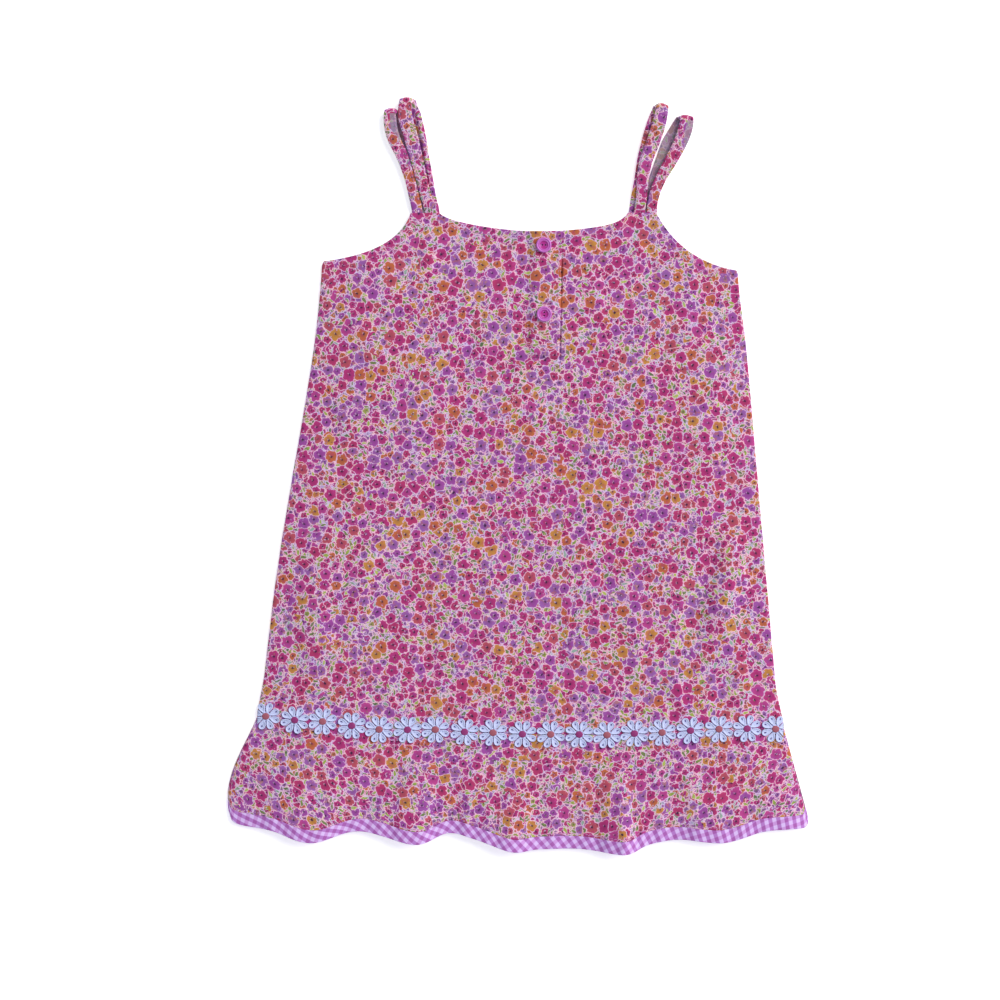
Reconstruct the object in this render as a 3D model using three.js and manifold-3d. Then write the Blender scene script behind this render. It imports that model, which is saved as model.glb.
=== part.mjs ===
// A toddler's printed cotton sundress, laid flat on a surface with its front up.
// Millimetres, +Z up, the surface at z = 0. The neck points along +Y and the hem along -Y.
// Left and right are as seen from above, with the neck at the top.
import * as THREE from "three";
import { mergeVertices } from "three/addons/utils/BufferGeometryUtils.js";
import Module from "manifold-3d";

const { lerp, smoothstep } = THREE.MathUtils;

// Cloth and the way it lies
const CLOTH = 1.3; // wall of one layer of cloth
const GAP = 0.3; // clear space at a seam and between two layers
const FRONT_REST = CLOTH + GAP; // underside of the front layer where it lies on the back
const AIR = 2.2; // how far the front stands off the back inside the body
const AIR_EDGE = 34; // distance from a side seam over which that air builds up
const AIR_AT_NECK = 0.35; // share of the air that is left at the neckline

// Body, front and back
const CHEST_HALF = 140; // half the width between the armholes
const CHEST_Y = 138; // top of the side seams
const TRIM_HALF = 177.2; // half the width at the flounce seam
const TRIM_Y = -165.8; // flounce seam at the side seams
const SEAM_Y = -173.3; // flounce seam at the centre front
const BACK_DROP = 1.5; // how much lower the back's top edge lies than the front's

// Side seams as they lie, from the flounce seam up
const SIDES = [
  { y: TRIM_Y, left: -TRIM_HALF, right: TRIM_HALF },
  { y: -140, left: -173.2, right: 171.6 },
  { y: -110, left: -170.2, right: 168.0 },
  { y: -60, left: -164.8, right: 162.6 },
  { y: 0, left: -156.4, right: 156.2 },
  { y: 46, left: -149.4, right: 151.2 },
  { y: 92, left: -143.4, right: 146.0 },
  { y: CHEST_Y, left: -140.2, right: 139.8 },
];

// Neckline: a shallow scoop with turned-up ends
const NECK = {
  middle: 1.5,
  y: 164.4,
  half: 63.5,
  scoop: 8.4,
  turnUpLeft: 2.4,
  turnUpRight: 5.4,
  turnUpPower: 14,
};

// Armholes, each a quadratic curve from the strap corner to the side corner
const ARMHOLES = {
  left: { strap: [-81, 174.8], middle: [-89.5, 148], side: [-139, 141.2] },
  right: { strap: [84, 178.4], middle: [101.5, 146.4], side: [139, 141] },
};

// Largest soft folds of the front body. high is the height of a ridge, or below 0 a trough
const BODY_FOLDS = [
  { from: [146, 22], to: [128, -38], high: -1.7, half: 13 },
  { from: [130, -30], to: [109, -118], high: -2.0, half: 14 },
  { from: [150, -18], to: [127, -118], high: 3.0, half: 17 },
  { from: [166, -82], to: [153, -150], high: -1.5, half: 11 },
  { from: [-148, -52], to: [-132, -140], high: 1.6, half: 20 },
  { from: [-60, 96], to: [-84, -20], high: 1.1, half: 24 },
  { from: [52, 60], to: [40, -60], high: 0.9, half: 26 },
];
const FOLD_END = 0.3; // share of a fold's length over which each end fades

// Flounce, a row for each ridge, valley and side edge, from left to right.
// seamX and hemX are its two ends, hemY the hem there, rise the height of the hem, bow a bend in x
const FLOUNCE = [
  { seamX: -177.2, hemX: -195.0, hemY: -229.6, rise: 0.5, bow: -5 },
  { seamX: -171.5, hemX: -189.6, hemY: -237.8, rise: 0.9, bow: -5 },
  { seamX: -146.0, hemX: -166.0, hemY: -241.8, rise: 1.6, bow: -4 },
  { seamX: -116.0, hemX: -139.0, hemY: -249.2, rise: 7.0, bow: -2 },
  { seamX: -96.0, hemX: -107.0, hemY: -241.0, rise: 1.3, bow: 0 },
  { seamX: -63.0, hemX: -69.0, hemY: -248.6, rise: 7.8, bow: 0 },
  { seamX: -43.0, hemX: -47.0, hemY: -241.0, rise: 1.6, bow: 0 },
  { seamX: -27.0, hemX: -28.0, hemY: -244.8, rise: 3.6, bow: 0 },
  { seamX: -5.0, hemX: -4.0, hemY: -252.2, rise: 7.6, bow: 0 },
  { seamX: 12.0, hemX: 14.0, hemY: -250.4, rise: 2.8, bow: 0 },
  { seamX: 38.0, hemX: 42.0, hemY: -249.6, rise: 1.4, bow: 0 },
  { seamX: 64.0, hemX: 72.0, hemY: -252.2, rise: 8.4, bow: 0 },
  { seamX: 78.0, hemX: 88.0, hemY: -245.6, rise: 2.4, bow: 0 },
  { seamX: 96.0, hemX: 108.0, hemY: -242.0, rise: 1.2, bow: 0 },
  { seamX: 124.0, hemX: 138.0, hemY: -243.2, rise: 5.2, bow: 0 },
  { seamX: 149.0, hemX: 164.0, hemY: -235.6, rise: 1.4, bow: 0 },
  { seamX: 165.0, hemX: 181.0, hemY: -233.6, rise: 3.2, bow: 0 },
  { seamX: 174.6, hemX: 192.8, hemY: -232.2, rise: 1.0, bow: 0 },
  { seamX: 177.2, hemX: 195.0, hemY: -228.0, rise: 0.5, bow: 0 },
];
const BOW_LOW = 1.5; // above 1, a bend lies nearer to the hem than to the seam
const WAVE_START = 0.14; // share of the flounce's depth that the trim holds flat
const BAND = 8.6; // depth of the gingham band
const BACK_HEM_UP = 2.6; // how much shorter the back's hem lies than the front's
const BACK_ARCH = { from: 5, share: 0.6 }; // the back hem arches under the highest waves

// Placket
const PLACKET = { left: -2.2, right: 20.6, bottom: 79.2, thick: 1.2 };

// Buttons
const BUTTON = { radius: 5, thick: 2.4, well: 2.5, floor: 1.3, hole: 0.75, holeOut: 1.25 };
const BUTTONS = [
  { name: "button_upper", x: 8.6, y: 154.9, turn: 0 },
  { name: "button_lower", x: 9.9, y: 108.5, turn: Math.PI / 2 },
];

// Straps: a row for each height y, with the middle of the front run, the middle of the back run
// that lies under it, and the strap's width there. The last row is the top of the fold
const STRAP_THICK = 1.3;
const STRAP_LIFT = 1.7; // how far the front run stands off the back run just below the fold
const STRAPS = {
  strap_left_outer: [
    { y: 176, front: -76.9, back: -74.3, wide: 7.2 },
    { y: 187, front: -79.5, back: -76.5, wide: 7.0 },
    { y: 200, front: -83.1, back: -79.4, wide: 6.9 },
    { y: 213, front: -87.9, back: -84.0, wide: 7.9 },
    { y: 226, front: -94.2, back: -90.6, wide: 8.6 },
    { y: 237, front: -96.4, back: -93.0, wide: 8.6 },
    { y: 245, front: -96.4, back: -94.4, wide: 7.6 },
  ],
  strap_left_inner: [
    { y: 176, front: -68.1, back: -65.6, wide: 7.5 },
    { y: 187, front: -71.5, back: -68.3, wide: 7.5 },
    { y: 200, front: -75.0, back: -71.0, wide: 7.9 },
    { y: 213, front: -78.6, back: -74.0, wide: 8.8 },
    { y: 226, front: -82.2, back: -76.7, wide: 9.4 },
    { y: 240, front: -86.4, back: -80.2, wide: 9.4 },
    { y: 252.4, front: -86.4, back: -84.0, wide: 8.0 },
  ],
  strap_right_inner: [
    { y: 179, front: 72.6, back: 69.2, wide: 7.3 },
    { y: 188, front: 73.5, back: 70.2, wide: 7.4 },
    { y: 200, front: 74.0, back: 72.4, wide: 8.0 },
    { y: 213, front: 76.0, back: 74.4, wide: 8.8 },
    { y: 224, front: 80.0, back: 76.8, wide: 9.0 },
    { y: 238, front: 84.2, back: 80.6, wide: 9.2 },
    { y: 252.2, front: 86.6, back: 84.8, wide: 8.0 },
  ],
  strap_right_outer: [
    { y: 179, front: 80.7, back: 77.2, wide: 7.1 },
    { y: 188, front: 81.6, back: 78.4, wide: 7.0 },
    { y: 200, front: 85.6, back: 81.6, wide: 7.3 },
    { y: 213, front: 92.4, back: 86.4, wide: 8.4 },
    { y: 226, front: 98.8, back: 91.2, wide: 9.2 },
    { y: 237, front: 102.3, back: 97.6, wide: 9.6 },
    { y: 244.6, front: 103.0, back: 101.0, wide: 8.4 },
  ],
};

// Daisy trim
const DAISIES = 19;
const DAISY = {
  pitch: 19.06, // from one daisy to the next
  tall: 18.5, // across the petals, up and down
  petals: 8,
  thick: 1.0,
  centreUp: 0.5, // how far the middle stands above the petals
  hold: 0.35, // how far the side petals of two neighbours reach into each other
};
// Outline of one petal as shares of its length and of half its angle
const PETAL = [
  { out: 0.44, turn: -1.0 },
  { out: 0.8, turn: -0.62 },
  { out: 0.99, turn: -0.27 },
  { out: 0.99, turn: 0.27 },
  { out: 0.8, turn: 0.62 },
];

// Colours, roughness
const PRINT = { color: 0xb87a9b, roughness: 0.85 };
const GINGHAM = { color: 0xc489cf, roughness: 0.85 };
const LACE = { color: 0xf0f1fa, roughness: 0.8 };
const PLASTIC = { color: 0xcf6fc8, roughness: 0.35 };

const wasm = await Module();
wasm.setup();

// Mesh helpers

function geometryOf(points, triangles) {
  const geometry = new THREE.BufferGeometry();
  geometry.setAttribute("position", new THREE.Float32BufferAttribute(points.flat(), 3));
  geometry.setIndex(triangles.flat());
  geometry.computeVertexNormals();
  return geometry;
}

// A wall of cloth on a grid. place(i, j) gives x, y and under, the height of its underside,
// with i from left to right and j from the hem towards the neck
function wall(columns, rows, place, thick = CLOTH) {
  const points = [];
  const triangles = [];
  for (const layer of [0, thick]) {
    for (let i = 0; i < columns; i++) {
      for (let j = 0; j < rows; j++) {
        const { x, y, under } = place(i, j);
        points.push([x, y, under + layer]);
      }
    }
  }
  const at = (i, j, top) => top * columns * rows + i * rows + j;
  const quad = (a, b, c, d) => triangles.push([a, b, c], [a, c, d]);
  for (let i = 0; i + 1 < columns; i++) {
    for (let j = 0; j + 1 < rows; j++) {
      quad(at(i, j, 1), at(i + 1, j, 1), at(i + 1, j + 1, 1), at(i, j + 1, 1));
      quad(at(i, j, 0), at(i, j + 1, 0), at(i + 1, j + 1, 0), at(i + 1, j, 0));
    }
    quad(at(i, 0, 0), at(i + 1, 0, 0), at(i + 1, 0, 1), at(i, 0, 1));
    const j = rows - 1;
    quad(at(i + 1, j, 0), at(i, j, 0), at(i, j, 1), at(i + 1, j, 1));
  }
  for (let j = 0; j + 1 < rows; j++) {
    quad(at(0, j + 1, 0), at(0, j, 0), at(0, j, 1), at(0, j + 1, 1));
    const i = columns - 1;
    quad(at(i, j, 0), at(i, j + 1, 0), at(i, j + 1, 1), at(i, j, 1));
  }
  return geometryOf(points, triangles);
}

// A body through rings that all have the same number of points, closed at both ends
function loft(rings) {
  const count = rings[0].length;
  const points = rings.flat();
  const triangles = [];
  for (let i = 0; i + 1 < rings.length; i++) {
    for (let k = 0; k < count; k++) {
      const a = i * count + k;
      const b = i * count + ((k + 1) % count);
      triangles.push([a, b + count, b], [a, a + count, b + count]);
    }
  }
  const last = (rings.length - 1) * count;
  for (let k = 1; k + 1 < count; k++) {
    triangles.push([0, k, k + 1], [last, last + k + 1, last + k]);
  }
  return geometryOf(points, triangles);
}

function solid(geometry) {
  const bare = geometry.clone();
  bare.deleteAttribute("normal");
  bare.deleteAttribute("uv");
  const merged = mergeVertices(bare);
  return new wasm.Manifold(
    new wasm.Mesh({
      numProp: 3,
      vertProperties: merged.attributes.position.array,
      triVerts: new Uint32Array(merged.index.array),
    }),
  );
}

function geometryFromSolid(body) {
  const mesh = body.getMesh();
  const geometry = new THREE.BufferGeometry();
  geometry.setAttribute("position", new THREE.Float32BufferAttribute(mesh.vertProperties, 3));
  geometry.setIndex([...mesh.triVerts]);
  geometry.computeVertexNormals();
  return geometry;
}

// Splits each stretch between two neighbouring stops into equal steps no longer than step
function steps(stops, step) {
  const out = [stops[0]];
  for (let i = 0; i + 1 < stops.length; i++) {
    const count = Math.max(1, Math.ceil((stops[i + 1] - stops[i]) / step));
    for (let k = 1; k <= count; k++) out.push(lerp(stops[i], stops[i + 1], k / count));
  }
  return out;
}

// A table's column at height y, on a smooth curve through its rows, which go up in y
function tableAt(rows, column, y) {
  const last = rows.length - 1;
  const found = rows.findIndex((row) => row.y >= y);
  const row = found < 0 ? last : Math.max(1, found);
  const part = (y - rows[row - 1].y) / (rows[row].y - rows[row - 1].y);
  const low = rows[row - 1][column];
  const high = rows[row][column];
  const slopeLow = (high - rows[Math.max(0, row - 2)][column]) / 2;
  const slopeHigh = (rows[Math.min(last, row + 1)][column] - low) / 2;
  const square = part * part;
  const cube = square * part;
  const ease = 3 * square - 2 * cube;
  const bends = (cube - 2 * square + part) * slopeLow + (cube - square) * slopeHigh;
  return lerp(low, high, ease) + bends;
}

// Outline of the body

// Distance from x to the nearer side seam at height y
function fromSideSeam(x, y) {
  const height = Math.min(y, CHEST_Y);
  return Math.min(x - tableAt(SIDES, "left", height), tableAt(SIDES, "right", height) - x);
}

// share is -1 at the left side seam and 1 at the right one
const bodyX = (share, y) =>
  Math.abs(share) * tableAt(SIDES, share < 0 ? "left" : "right", Math.min(y, CHEST_Y));
const seamY = (x) => SEAM_Y + (TRIM_Y - SEAM_Y) * (x / TRIM_HALF) ** 2;

function neckY(x) {
  const out = Math.abs(x - NECK.middle) / NECK.half;
  const turnUp = x < NECK.middle ? NECK.turnUpLeft : NECK.turnUpRight;
  return NECK.y + NECK.scoop * out ** 2 + turnUp * out ** NECK.turnUpPower;
}

// Height of a quadratic curve through an armhole's three points at x
function armholeY({ strap, middle, side }, x) {
  const a = strap[0] - 2 * middle[0] + side[0];
  const b = 2 * (middle[0] - strap[0]);
  const c = strap[0] - x;
  const root = Math.sqrt(Math.max(0, b * b - 4 * a * c));
  const t = (2 * c) / (-b - Math.sign(b) * root);
  return (1 - t) ** 2 * strap[1] + 2 * t * (1 - t) * middle[1] + t * t * side[1];
}

const NECK_LEFT = NECK.middle - NECK.half;
const NECK_RIGHT = NECK.middle + NECK.half;

function topY(x) {
  const { left, right } = ARMHOLES;
  if (x < left.side[0]) return lerp(left.side[1], CHEST_Y, left.side[0] - x);
  if (x > right.side[0]) return lerp(right.side[1], CHEST_Y, x - right.side[0]);
  if (x < left.strap[0]) return armholeY(left, x);
  if (x > right.strap[0]) return armholeY(right, x);
  if (x < NECK_LEFT) {
    return lerp(left.strap[1], neckY(NECK_LEFT), (x - left.strap[0]) / (NECK_LEFT - left.strap[0]));
  }
  if (x > NECK_RIGHT) {
    return lerp(right.strap[1], neckY(NECK_RIGHT), (right.strap[0] - x) / (right.strap[0] - NECK_RIGHT));
  }
  return neckY(x);
}

const TOP_STOPS = [
  -CHEST_HALF,
  ARMHOLES.left.side[0],
  ARMHOLES.left.strap[0],
  NECK_LEFT,
  NECK_RIGHT,
  ARMHOLES.right.strap[0],
  ARMHOLES.right.side[0],
  CHEST_HALF,
];

// How the front layer lies

function foldHeight(fold, x, y) {
  const [x0, y0] = fold.from;
  const dx = fold.to[0] - x0;
  const dy = fold.to[1] - y0;
  const length = Math.hypot(dx, dy);
  const share = ((x - x0) * dx + (y - y0) * dy) / length ** 2;
  const away = Math.abs((x - x0) * dy - (y - y0) * dx) / length;
  const ends = smoothstep(share, 0, FOLD_END) * smoothstep(1 - share, 0, FOLD_END);
  return fold.high * ends * (1 - smoothstep(away, 0, fold.half));
}

// Height of the front layer's underside, fromSide being the distance from the side seam
function frontUnder(x, y, fromSide) {
  const side = smoothstep(fromSide, 0, AIR_EDGE);
  const neck = lerp(1, AIR_AT_NECK, smoothstep(y, CHEST_Y - AIR_EDGE, NECK.y));
  const folds = BODY_FOLDS.reduce((sum, fold) => sum + foldHeight(fold, x, y), 0);
  return FRONT_REST + Math.max(0, (AIR * neck + folds) * side);
}

// Body panels

const PANEL_COLUMN = 9.5; // longest step from column to column, at the chest
const PANEL_ROWS = 26;
const BACK_ROWS = 7;

function frontPanel() {
  const columns = steps(TOP_STOPS, PANEL_COLUMN);
  return wall(columns.length, PANEL_ROWS, (i, j) => {
    const share = columns[i] / CHEST_HALF;
    const y = lerp(seamY(share * TRIM_HALF), topY(columns[i]), j / (PANEL_ROWS - 1));
    const x = bodyX(share, y);
    return { x, y, under: frontUnder(x, y, fromSideSeam(x, y)) };
  });
}

function backPanel() {
  const columns = steps(TOP_STOPS, PANEL_COLUMN);
  return wall(columns.length, BACK_ROWS, (i, j) => {
    const share = columns[i] / CHEST_HALF;
    const top = topY(columns[i]) - BACK_DROP;
    const y = lerp(seamY(share * TRIM_HALF), top, j / (BACK_ROWS - 1));
    return { x: bodyX(share, y), y, under: 0 };
  });
}

// Flounce and its gingham band

const hemCurve = new THREE.CatmullRomCurve3(
  FLOUNCE.map(({ hemX, hemY, rise }) => new THREE.Vector3(hemX, hemY, rise)),
  false,
  "catmullrom",
  0.5,
);
const seamCurve = new THREE.CatmullRomCurve3(
  FLOUNCE.map(({ seamX, bow }) => new THREE.Vector3(seamX, 0, bow)),
  false,
  "catmullrom",
  0.5,
);
const FLOUNCE_COLUMN = 6.5; // longest step from column to column, at the hem

// Positions along FLOUNCE, in rows and parts of rows
function flounceColumns(step) {
  const out = [0];
  for (let row = 0; row + 1 < FLOUNCE.length; row++) {
    const count = Math.ceil((FLOUNCE[row + 1].hemX - FLOUNCE[row].hemX) / step);
    for (let k = 1; k <= count; k++) out.push(row + k / count);
  }
  return out;
}

// A point of the flounce: down is 0 at the seam and 1 at the hem
function flouncePoint(column, down, hemUp) {
  const share = column / (FLOUNCE.length - 1);
  const hem = hemCurve.getPoint(share);
  const seam = seamCurve.getPoint(share);
  const top = seamY(seam.x) - GAP;
  const bend = down ** BOW_LOW;
  const x = lerp(seam.x, hem.x, down) + seam.z * 4 * bend * (1 - bend);
  const y = lerp(top, hem.y + hemUp, down);
  const wave = Math.max(0, hem.z) * smoothstep(down, WAVE_START, 1.15);
  return { x, y, wave, rise: hem.z, seamX: seam.x, deep: top - hem.y - hemUp };
}

function frontFlouncePoint(column, down) {
  const { x, y, wave, seamX } = flouncePoint(column, down, 0);
  const flare = smoothstep(down, WAVE_START, 0.5);
  const fromSide = TRIM_HALF - lerp(Math.abs(x), Math.abs(seamX), flare);
  return { x, y, under: frontUnder(x, y, fromSide) + wave };
}

function backFlouncePoint(column, down) {
  const { x, y, rise } = flouncePoint(column, down, BACK_HEM_UP);
  const arch = BACK_ARCH.share * Math.max(0, rise - BACK_ARCH.from) * down ** 2;
  return { x, y, under: arch };
}

// A stretch of the flounce between two depths, worked out for each column
function flounceWall(point, hemUp, rows, step, isBand) {
  const columns = flounceColumns(step);
  return wall(columns.length, rows, (i, j) => {
    const { deep } = flouncePoint(columns[i], 0, hemUp);
    const bandTop = 1 - BAND / deep;
    const lower = isBand ? 1 : bandTop - GAP / deep;
    const upper = isBand ? bandTop : 0;
    return point(columns[i], lerp(lower, upper, j / (rows - 1)));
  });
}

// Placket and buttons

const frontTop = (x, y) => frontUnder(x, y, fromSideSeam(x, y)) + CLOTH;

const PLACKET_COLUMNS = 4;
const PLACKET_ROWS = 9;

function placket() {
  const { left, right, bottom, thick } = PLACKET;
  return wall(
    PLACKET_COLUMNS,
    PLACKET_ROWS,
    (i, j) => {
      const x = lerp(left, right, i / (PLACKET_COLUMNS - 1));
      const y = lerp(bottom, topY(x), j / (PLACKET_ROWS - 1));
      return { x, y, under: frontTop(x, y) + GAP };
    },
    thick,
  );
}

const BUTTON_SIDES = 24;
const HOLE_SIDES = 10;

function button({ x, y, turn }) {
  const { radius, thick, well, floor, hole, holeOut } = BUTTON;
  const profile = [
    [0, 0],
    [radius - 0.4, 0],
    [radius, 0.5],
    [radius, thick - 0.8],
    [radius - 0.4, thick - 0.2],
    [radius - 1, thick],
    [well + 0.9, thick - 0.3],
    [well + 0.2, floor + 0.2],
    [well - 0.2, floor],
    [0, floor],
  ].map(([r, z]) => new THREE.Vector2(r, z));
  let body = solid(new THREE.LatheGeometry(profile, BUTTON_SIDES).rotateX(Math.PI / 2));
  for (const side of [-1, 1]) {
    const drill = new THREE.CylinderGeometry(hole, hole, 3 * thick, HOLE_SIDES);
    drill.rotateX(Math.PI / 2).translate(side * holeOut, 0, 0);
    body = body.subtract(solid(drill));
  }
  const around = [-1, 1].map((end) => frontTop(x, y + end * radius));
  const seat = Math.max(...around) + GAP + PLACKET.thick + GAP;
  return geometryFromSolid(body).rotateZ(turn).translate(x, y, seat);
}

// Straps

const STRAP_STEP = 9; // longest step along a run
const FOLD_STEPS = 6;

// A flat ring with bevelled edges, wide along across and thick along out
function strapRing(centre, across, out, wide) {
  const half = wide / 2;
  const edge = STRAP_THICK / 2;
  const bevel = 0.35 * STRAP_THICK;
  const outline = [
    [-half, -edge + bevel],
    [-half + bevel, -edge],
    [half - bevel, -edge],
    [half, -edge + bevel],
    [half, edge - bevel],
    [half - bevel, edge],
    [-half + bevel, edge],
    [-half, edge - bevel],
  ];
  return outline.map(([a, b]) =>
    centre.clone().addScaledVector(across, a).addScaledVector(out, b).toArray(),
  );
}

function strap(rows) {
  const top = rows[rows.length - 1];
  const edgeUnder = (x) => Math.max(...[-1, 0, 1].map((side) => topY(x + (side * rows[0].wide) / 2)));
  const frontStart = edgeUnder(rows[0].front) + GAP;
  const backStart = edgeUnder(rows[0].back) - BACK_DROP + GAP;
  const baseZ = frontTop(rows[0].front, frontStart) - CLOTH / 2;
  const backZ = STRAP_THICK / 2;
  const topZ = baseZ + STRAP_LIFT;
  const foldRadius = (topZ - backZ) / 2;
  const foldY = top.y - foldRadius - STRAP_THICK / 2;
  const run = (column, start, height, out) =>
    steps([start, foldY], STRAP_STEP).map((y, i, all) => {
      const isEnd = i === 0 || i === all.length - 1;
      const slope = isEnd ? 0 : tableAt(rows, column, y + 1) - tableAt(rows, column, y - 1);
      const across = new THREE.Vector3(2, -slope, 0).normalize();
      const centre = new THREE.Vector3(tableAt(rows, column, y), y, height(y));
      return strapRing(centre, across, out, tableAt(rows, "wide", y));
    });
  const lift = (y) => baseZ + STRAP_LIFT * smoothstep(y, frontStart, foldY);
  const front = run("front", frontStart, lift, new THREE.Vector3(0, 0, 1));
  const back = run("back", backStart, () => backZ, new THREE.Vector3(0, 0, -1)).reverse();
  const fold = [];
  for (let k = 1; k < FOLD_STEPS; k++) {
    const turn = Math.PI / 2 - (k / FOLD_STEPS) * Math.PI;
    const out = new THREE.Vector3(0, Math.cos(turn), Math.sin(turn));
    const share = k / FOLD_STEPS;
    const frontX = tableAt(rows, "front", foldY);
    const backX = tableAt(rows, "back", foldY);
    const y = foldY + foldRadius * Math.cos(turn);
    const z = (topZ + backZ) / 2 + foldRadius * Math.sin(turn);
    const centre = new THREE.Vector3(lerp(frontX, backX, share), y, z);
    const wide = tableAt(rows, "wide", foldY);
    fold.push(strapRing(centre, new THREE.Vector3(1, 0, 0), out, wide));
  }
  return loft([...front, ...fold, ...back]);
}

// Daisy trim

function daisy(x) {
  const { pitch, tall, petals, thick, centreUp, hold } = DAISY;
  const y = seamY(x);
  const tilt = Math.atan((2 * (TRIM_Y - SEAM_Y) * x) / TRIM_HALF ** 2);
  const petalHalf = Math.PI / petals;
  const sideReach = PETAL[3].out * Math.cos(petalHalf * (1 - PETAL[3].turn));
  const reachX = (pitch / 2 + hold) / sideReach;
  const reachY = tall / 2 / sideReach;
  const flat = [[x, y, centreUp]];
  for (let k = 0; k < petals; k++) {
    for (const { out, turn } of PETAL) {
      const angle = petalHalf * (2 * k + 1 + turn);
      const u = reachX * out * Math.cos(angle);
      const v = reachY * out * Math.sin(angle);
      const px = x + u * Math.cos(tilt) - v * Math.sin(tilt);
      const py = y + u * Math.sin(tilt) + v * Math.cos(tilt);
      flat.push([px, py, 0]);
    }
  }
  const points = [];
  for (const layer of [0, 1]) {
    for (const [px, py, up] of flat) {
      const seat = frontUnder(px, py, TRIM_HALF - Math.abs(px)) + CLOTH + GAP;
      points.push([px, py, seat + layer * (thick + up)]);
    }
  }
  const count = flat.length;
  const triangles = [];
  for (let k = 1; k < count; k++) {
    const next = (k % (count - 1)) + 1;
    triangles.push([count, count + k, count + next], [0, next, k]);
    triangles.push([k, next, count + next], [k, count + next, count + k]);
  }
  return solid(geometryOf(points, triangles));
}

function daisyTrim() {
  let chain = daisy((-(DAISIES - 1) / 2) * DAISY.pitch);
  for (let k = 1; k < DAISIES; k++) chain = chain.add(daisy((k - (DAISIES - 1) / 2) * DAISY.pitch));
  const between = new THREE.BoxGeometry(2 * TRIM_HALF, 200, 100).translate(0, SEAM_Y, 0);
  return geometryFromSolid(chain.intersect(solid(between)));
}

// The sundress

const dress = new THREE.Group();

function addPiece(name, geometry, { color, roughness }) {
  const material = new THREE.MeshStandardMaterial({ color, roughness, metalness: 0 });
  const piece = new THREE.Mesh(geometry, material);
  piece.name = name;
  dress.add(piece);
}

addPiece("front_panel", frontPanel(), PRINT);
addPiece("back_panel", backPanel(), PRINT);
addPiece("front_flounce", flounceWall(frontFlouncePoint, 0, 7, FLOUNCE_COLUMN, false), PRINT);
addPiece("hem_band_front", flounceWall(frontFlouncePoint, 0, 3, FLOUNCE_COLUMN, true), GINGHAM);
addPiece("back_flounce", flounceWall(backFlouncePoint, BACK_HEM_UP, 4, FLOUNCE_COLUMN, false), PRINT);
addPiece("hem_band_back", flounceWall(backFlouncePoint, BACK_HEM_UP, 2, FLOUNCE_COLUMN, true), GINGHAM);
addPiece("placket", placket(), PRINT);
for (const row of BUTTONS) addPiece(row.name, button(row), PLASTIC);
for (const [name, rows] of Object.entries(STRAPS)) addPiece(name, strap(rows), PRINT);
addPiece("daisy_trim", daisyTrim(), LACE);

export default dress;
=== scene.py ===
# %% [markdown]
# # A toddler's sundress, laid flat
# The dress is a light printed cotton: an A-line body, a flounce with a gingham hem band, a chain
# of lace daisies over the flounce seam, a short placket with two buttons, and four thin straps.
# It lies on its back with the straps folded over at the shoulders.
# The packed model holds each cut piece as a plain solid. Here every piece is made again as thin
# cloth on that form, from the same pattern sizes, so that nothing has to be fitted afterwards.

# %% Load the fixed frame
import math

import bpy
import numpy as np
from mathutils import Matrix, Vector


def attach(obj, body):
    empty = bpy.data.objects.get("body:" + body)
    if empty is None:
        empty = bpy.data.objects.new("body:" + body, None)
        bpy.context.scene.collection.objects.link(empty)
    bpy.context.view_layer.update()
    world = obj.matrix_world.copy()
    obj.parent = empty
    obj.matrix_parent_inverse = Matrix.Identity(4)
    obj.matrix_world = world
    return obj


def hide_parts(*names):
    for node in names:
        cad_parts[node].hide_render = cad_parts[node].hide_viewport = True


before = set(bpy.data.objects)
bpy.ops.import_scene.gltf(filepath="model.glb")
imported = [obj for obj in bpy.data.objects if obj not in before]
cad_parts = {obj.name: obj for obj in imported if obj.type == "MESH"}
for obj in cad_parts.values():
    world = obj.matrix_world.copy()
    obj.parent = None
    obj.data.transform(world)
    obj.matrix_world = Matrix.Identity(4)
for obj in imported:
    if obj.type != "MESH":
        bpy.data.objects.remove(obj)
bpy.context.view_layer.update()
print("cut pieces:", ", ".join(sorted(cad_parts)))

# %% [markdown]
# ## Units and easy curves
# A maker writes a pattern in millimetres, so the tables below are in millimetres too, and MM
# turns them into metres where a mesh is made. A smooth curve through the rows of a short table
# is enough for a side seam, a strap or a wavy hem, and it keeps the tables short.

# %% Units and easy curves
MM = 0.001


def smooth(value, low, high):
    """0 up to low and 1 from high on, with an easy curve between them."""
    part = np.clip((value - low) / (high - low), 0.0, 1.0)
    return part * part * (3.0 - 2.0 * part)


def between(low, high, share):
    """A share of the way from low to high."""
    return low + (high - low) * share


def hermite(part, low, high, slope_low, slope_high):
    """A curve from low to high with a given slope at each end, part going from 0 to 1."""
    square = part * part
    cube = square * part
    bends = (cube - 2 * square + part) * slope_low + (cube - square) * slope_high
    return between(low, high, 3 * square - 2 * cube) + bends


def through_rows(rows, column, place):
    """A column of a table at any place. Column 0 holds the places of the rows, going up."""
    table = np.array(rows, float)
    last = len(table) - 1
    row = np.clip(np.searchsorted(table[:, 0], place), 1, last)
    low = table[row - 1, column]
    high = table[row, column]
    part = (place - table[row - 1, 0]) / (table[row, 0] - table[row - 1, 0])
    before = table[np.maximum(row - 2, 0), column]
    after = table[np.minimum(row + 1, last), column]
    return hermite(part, low, high, (high - before) / 2, (after - low) / 2)


def through_points(values, place):
    """The same for counted points: place 2.5 is half-way between the points 2 and 3."""
    points = np.array(values, float)
    first = 2 * points[0] - points[1]
    last = 2 * points[-1] - points[-2]
    padded = np.concatenate([[first], points, [last]])
    row = np.clip(np.floor(place).astype(int), 0, len(points) - 2)
    low = padded[row + 1]
    high = padded[row + 2]
    slopes = (high - padded[row]) / 2, (padded[row + 3] - low) / 2
    return hermite(place - row, low, high, *slopes)


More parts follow.
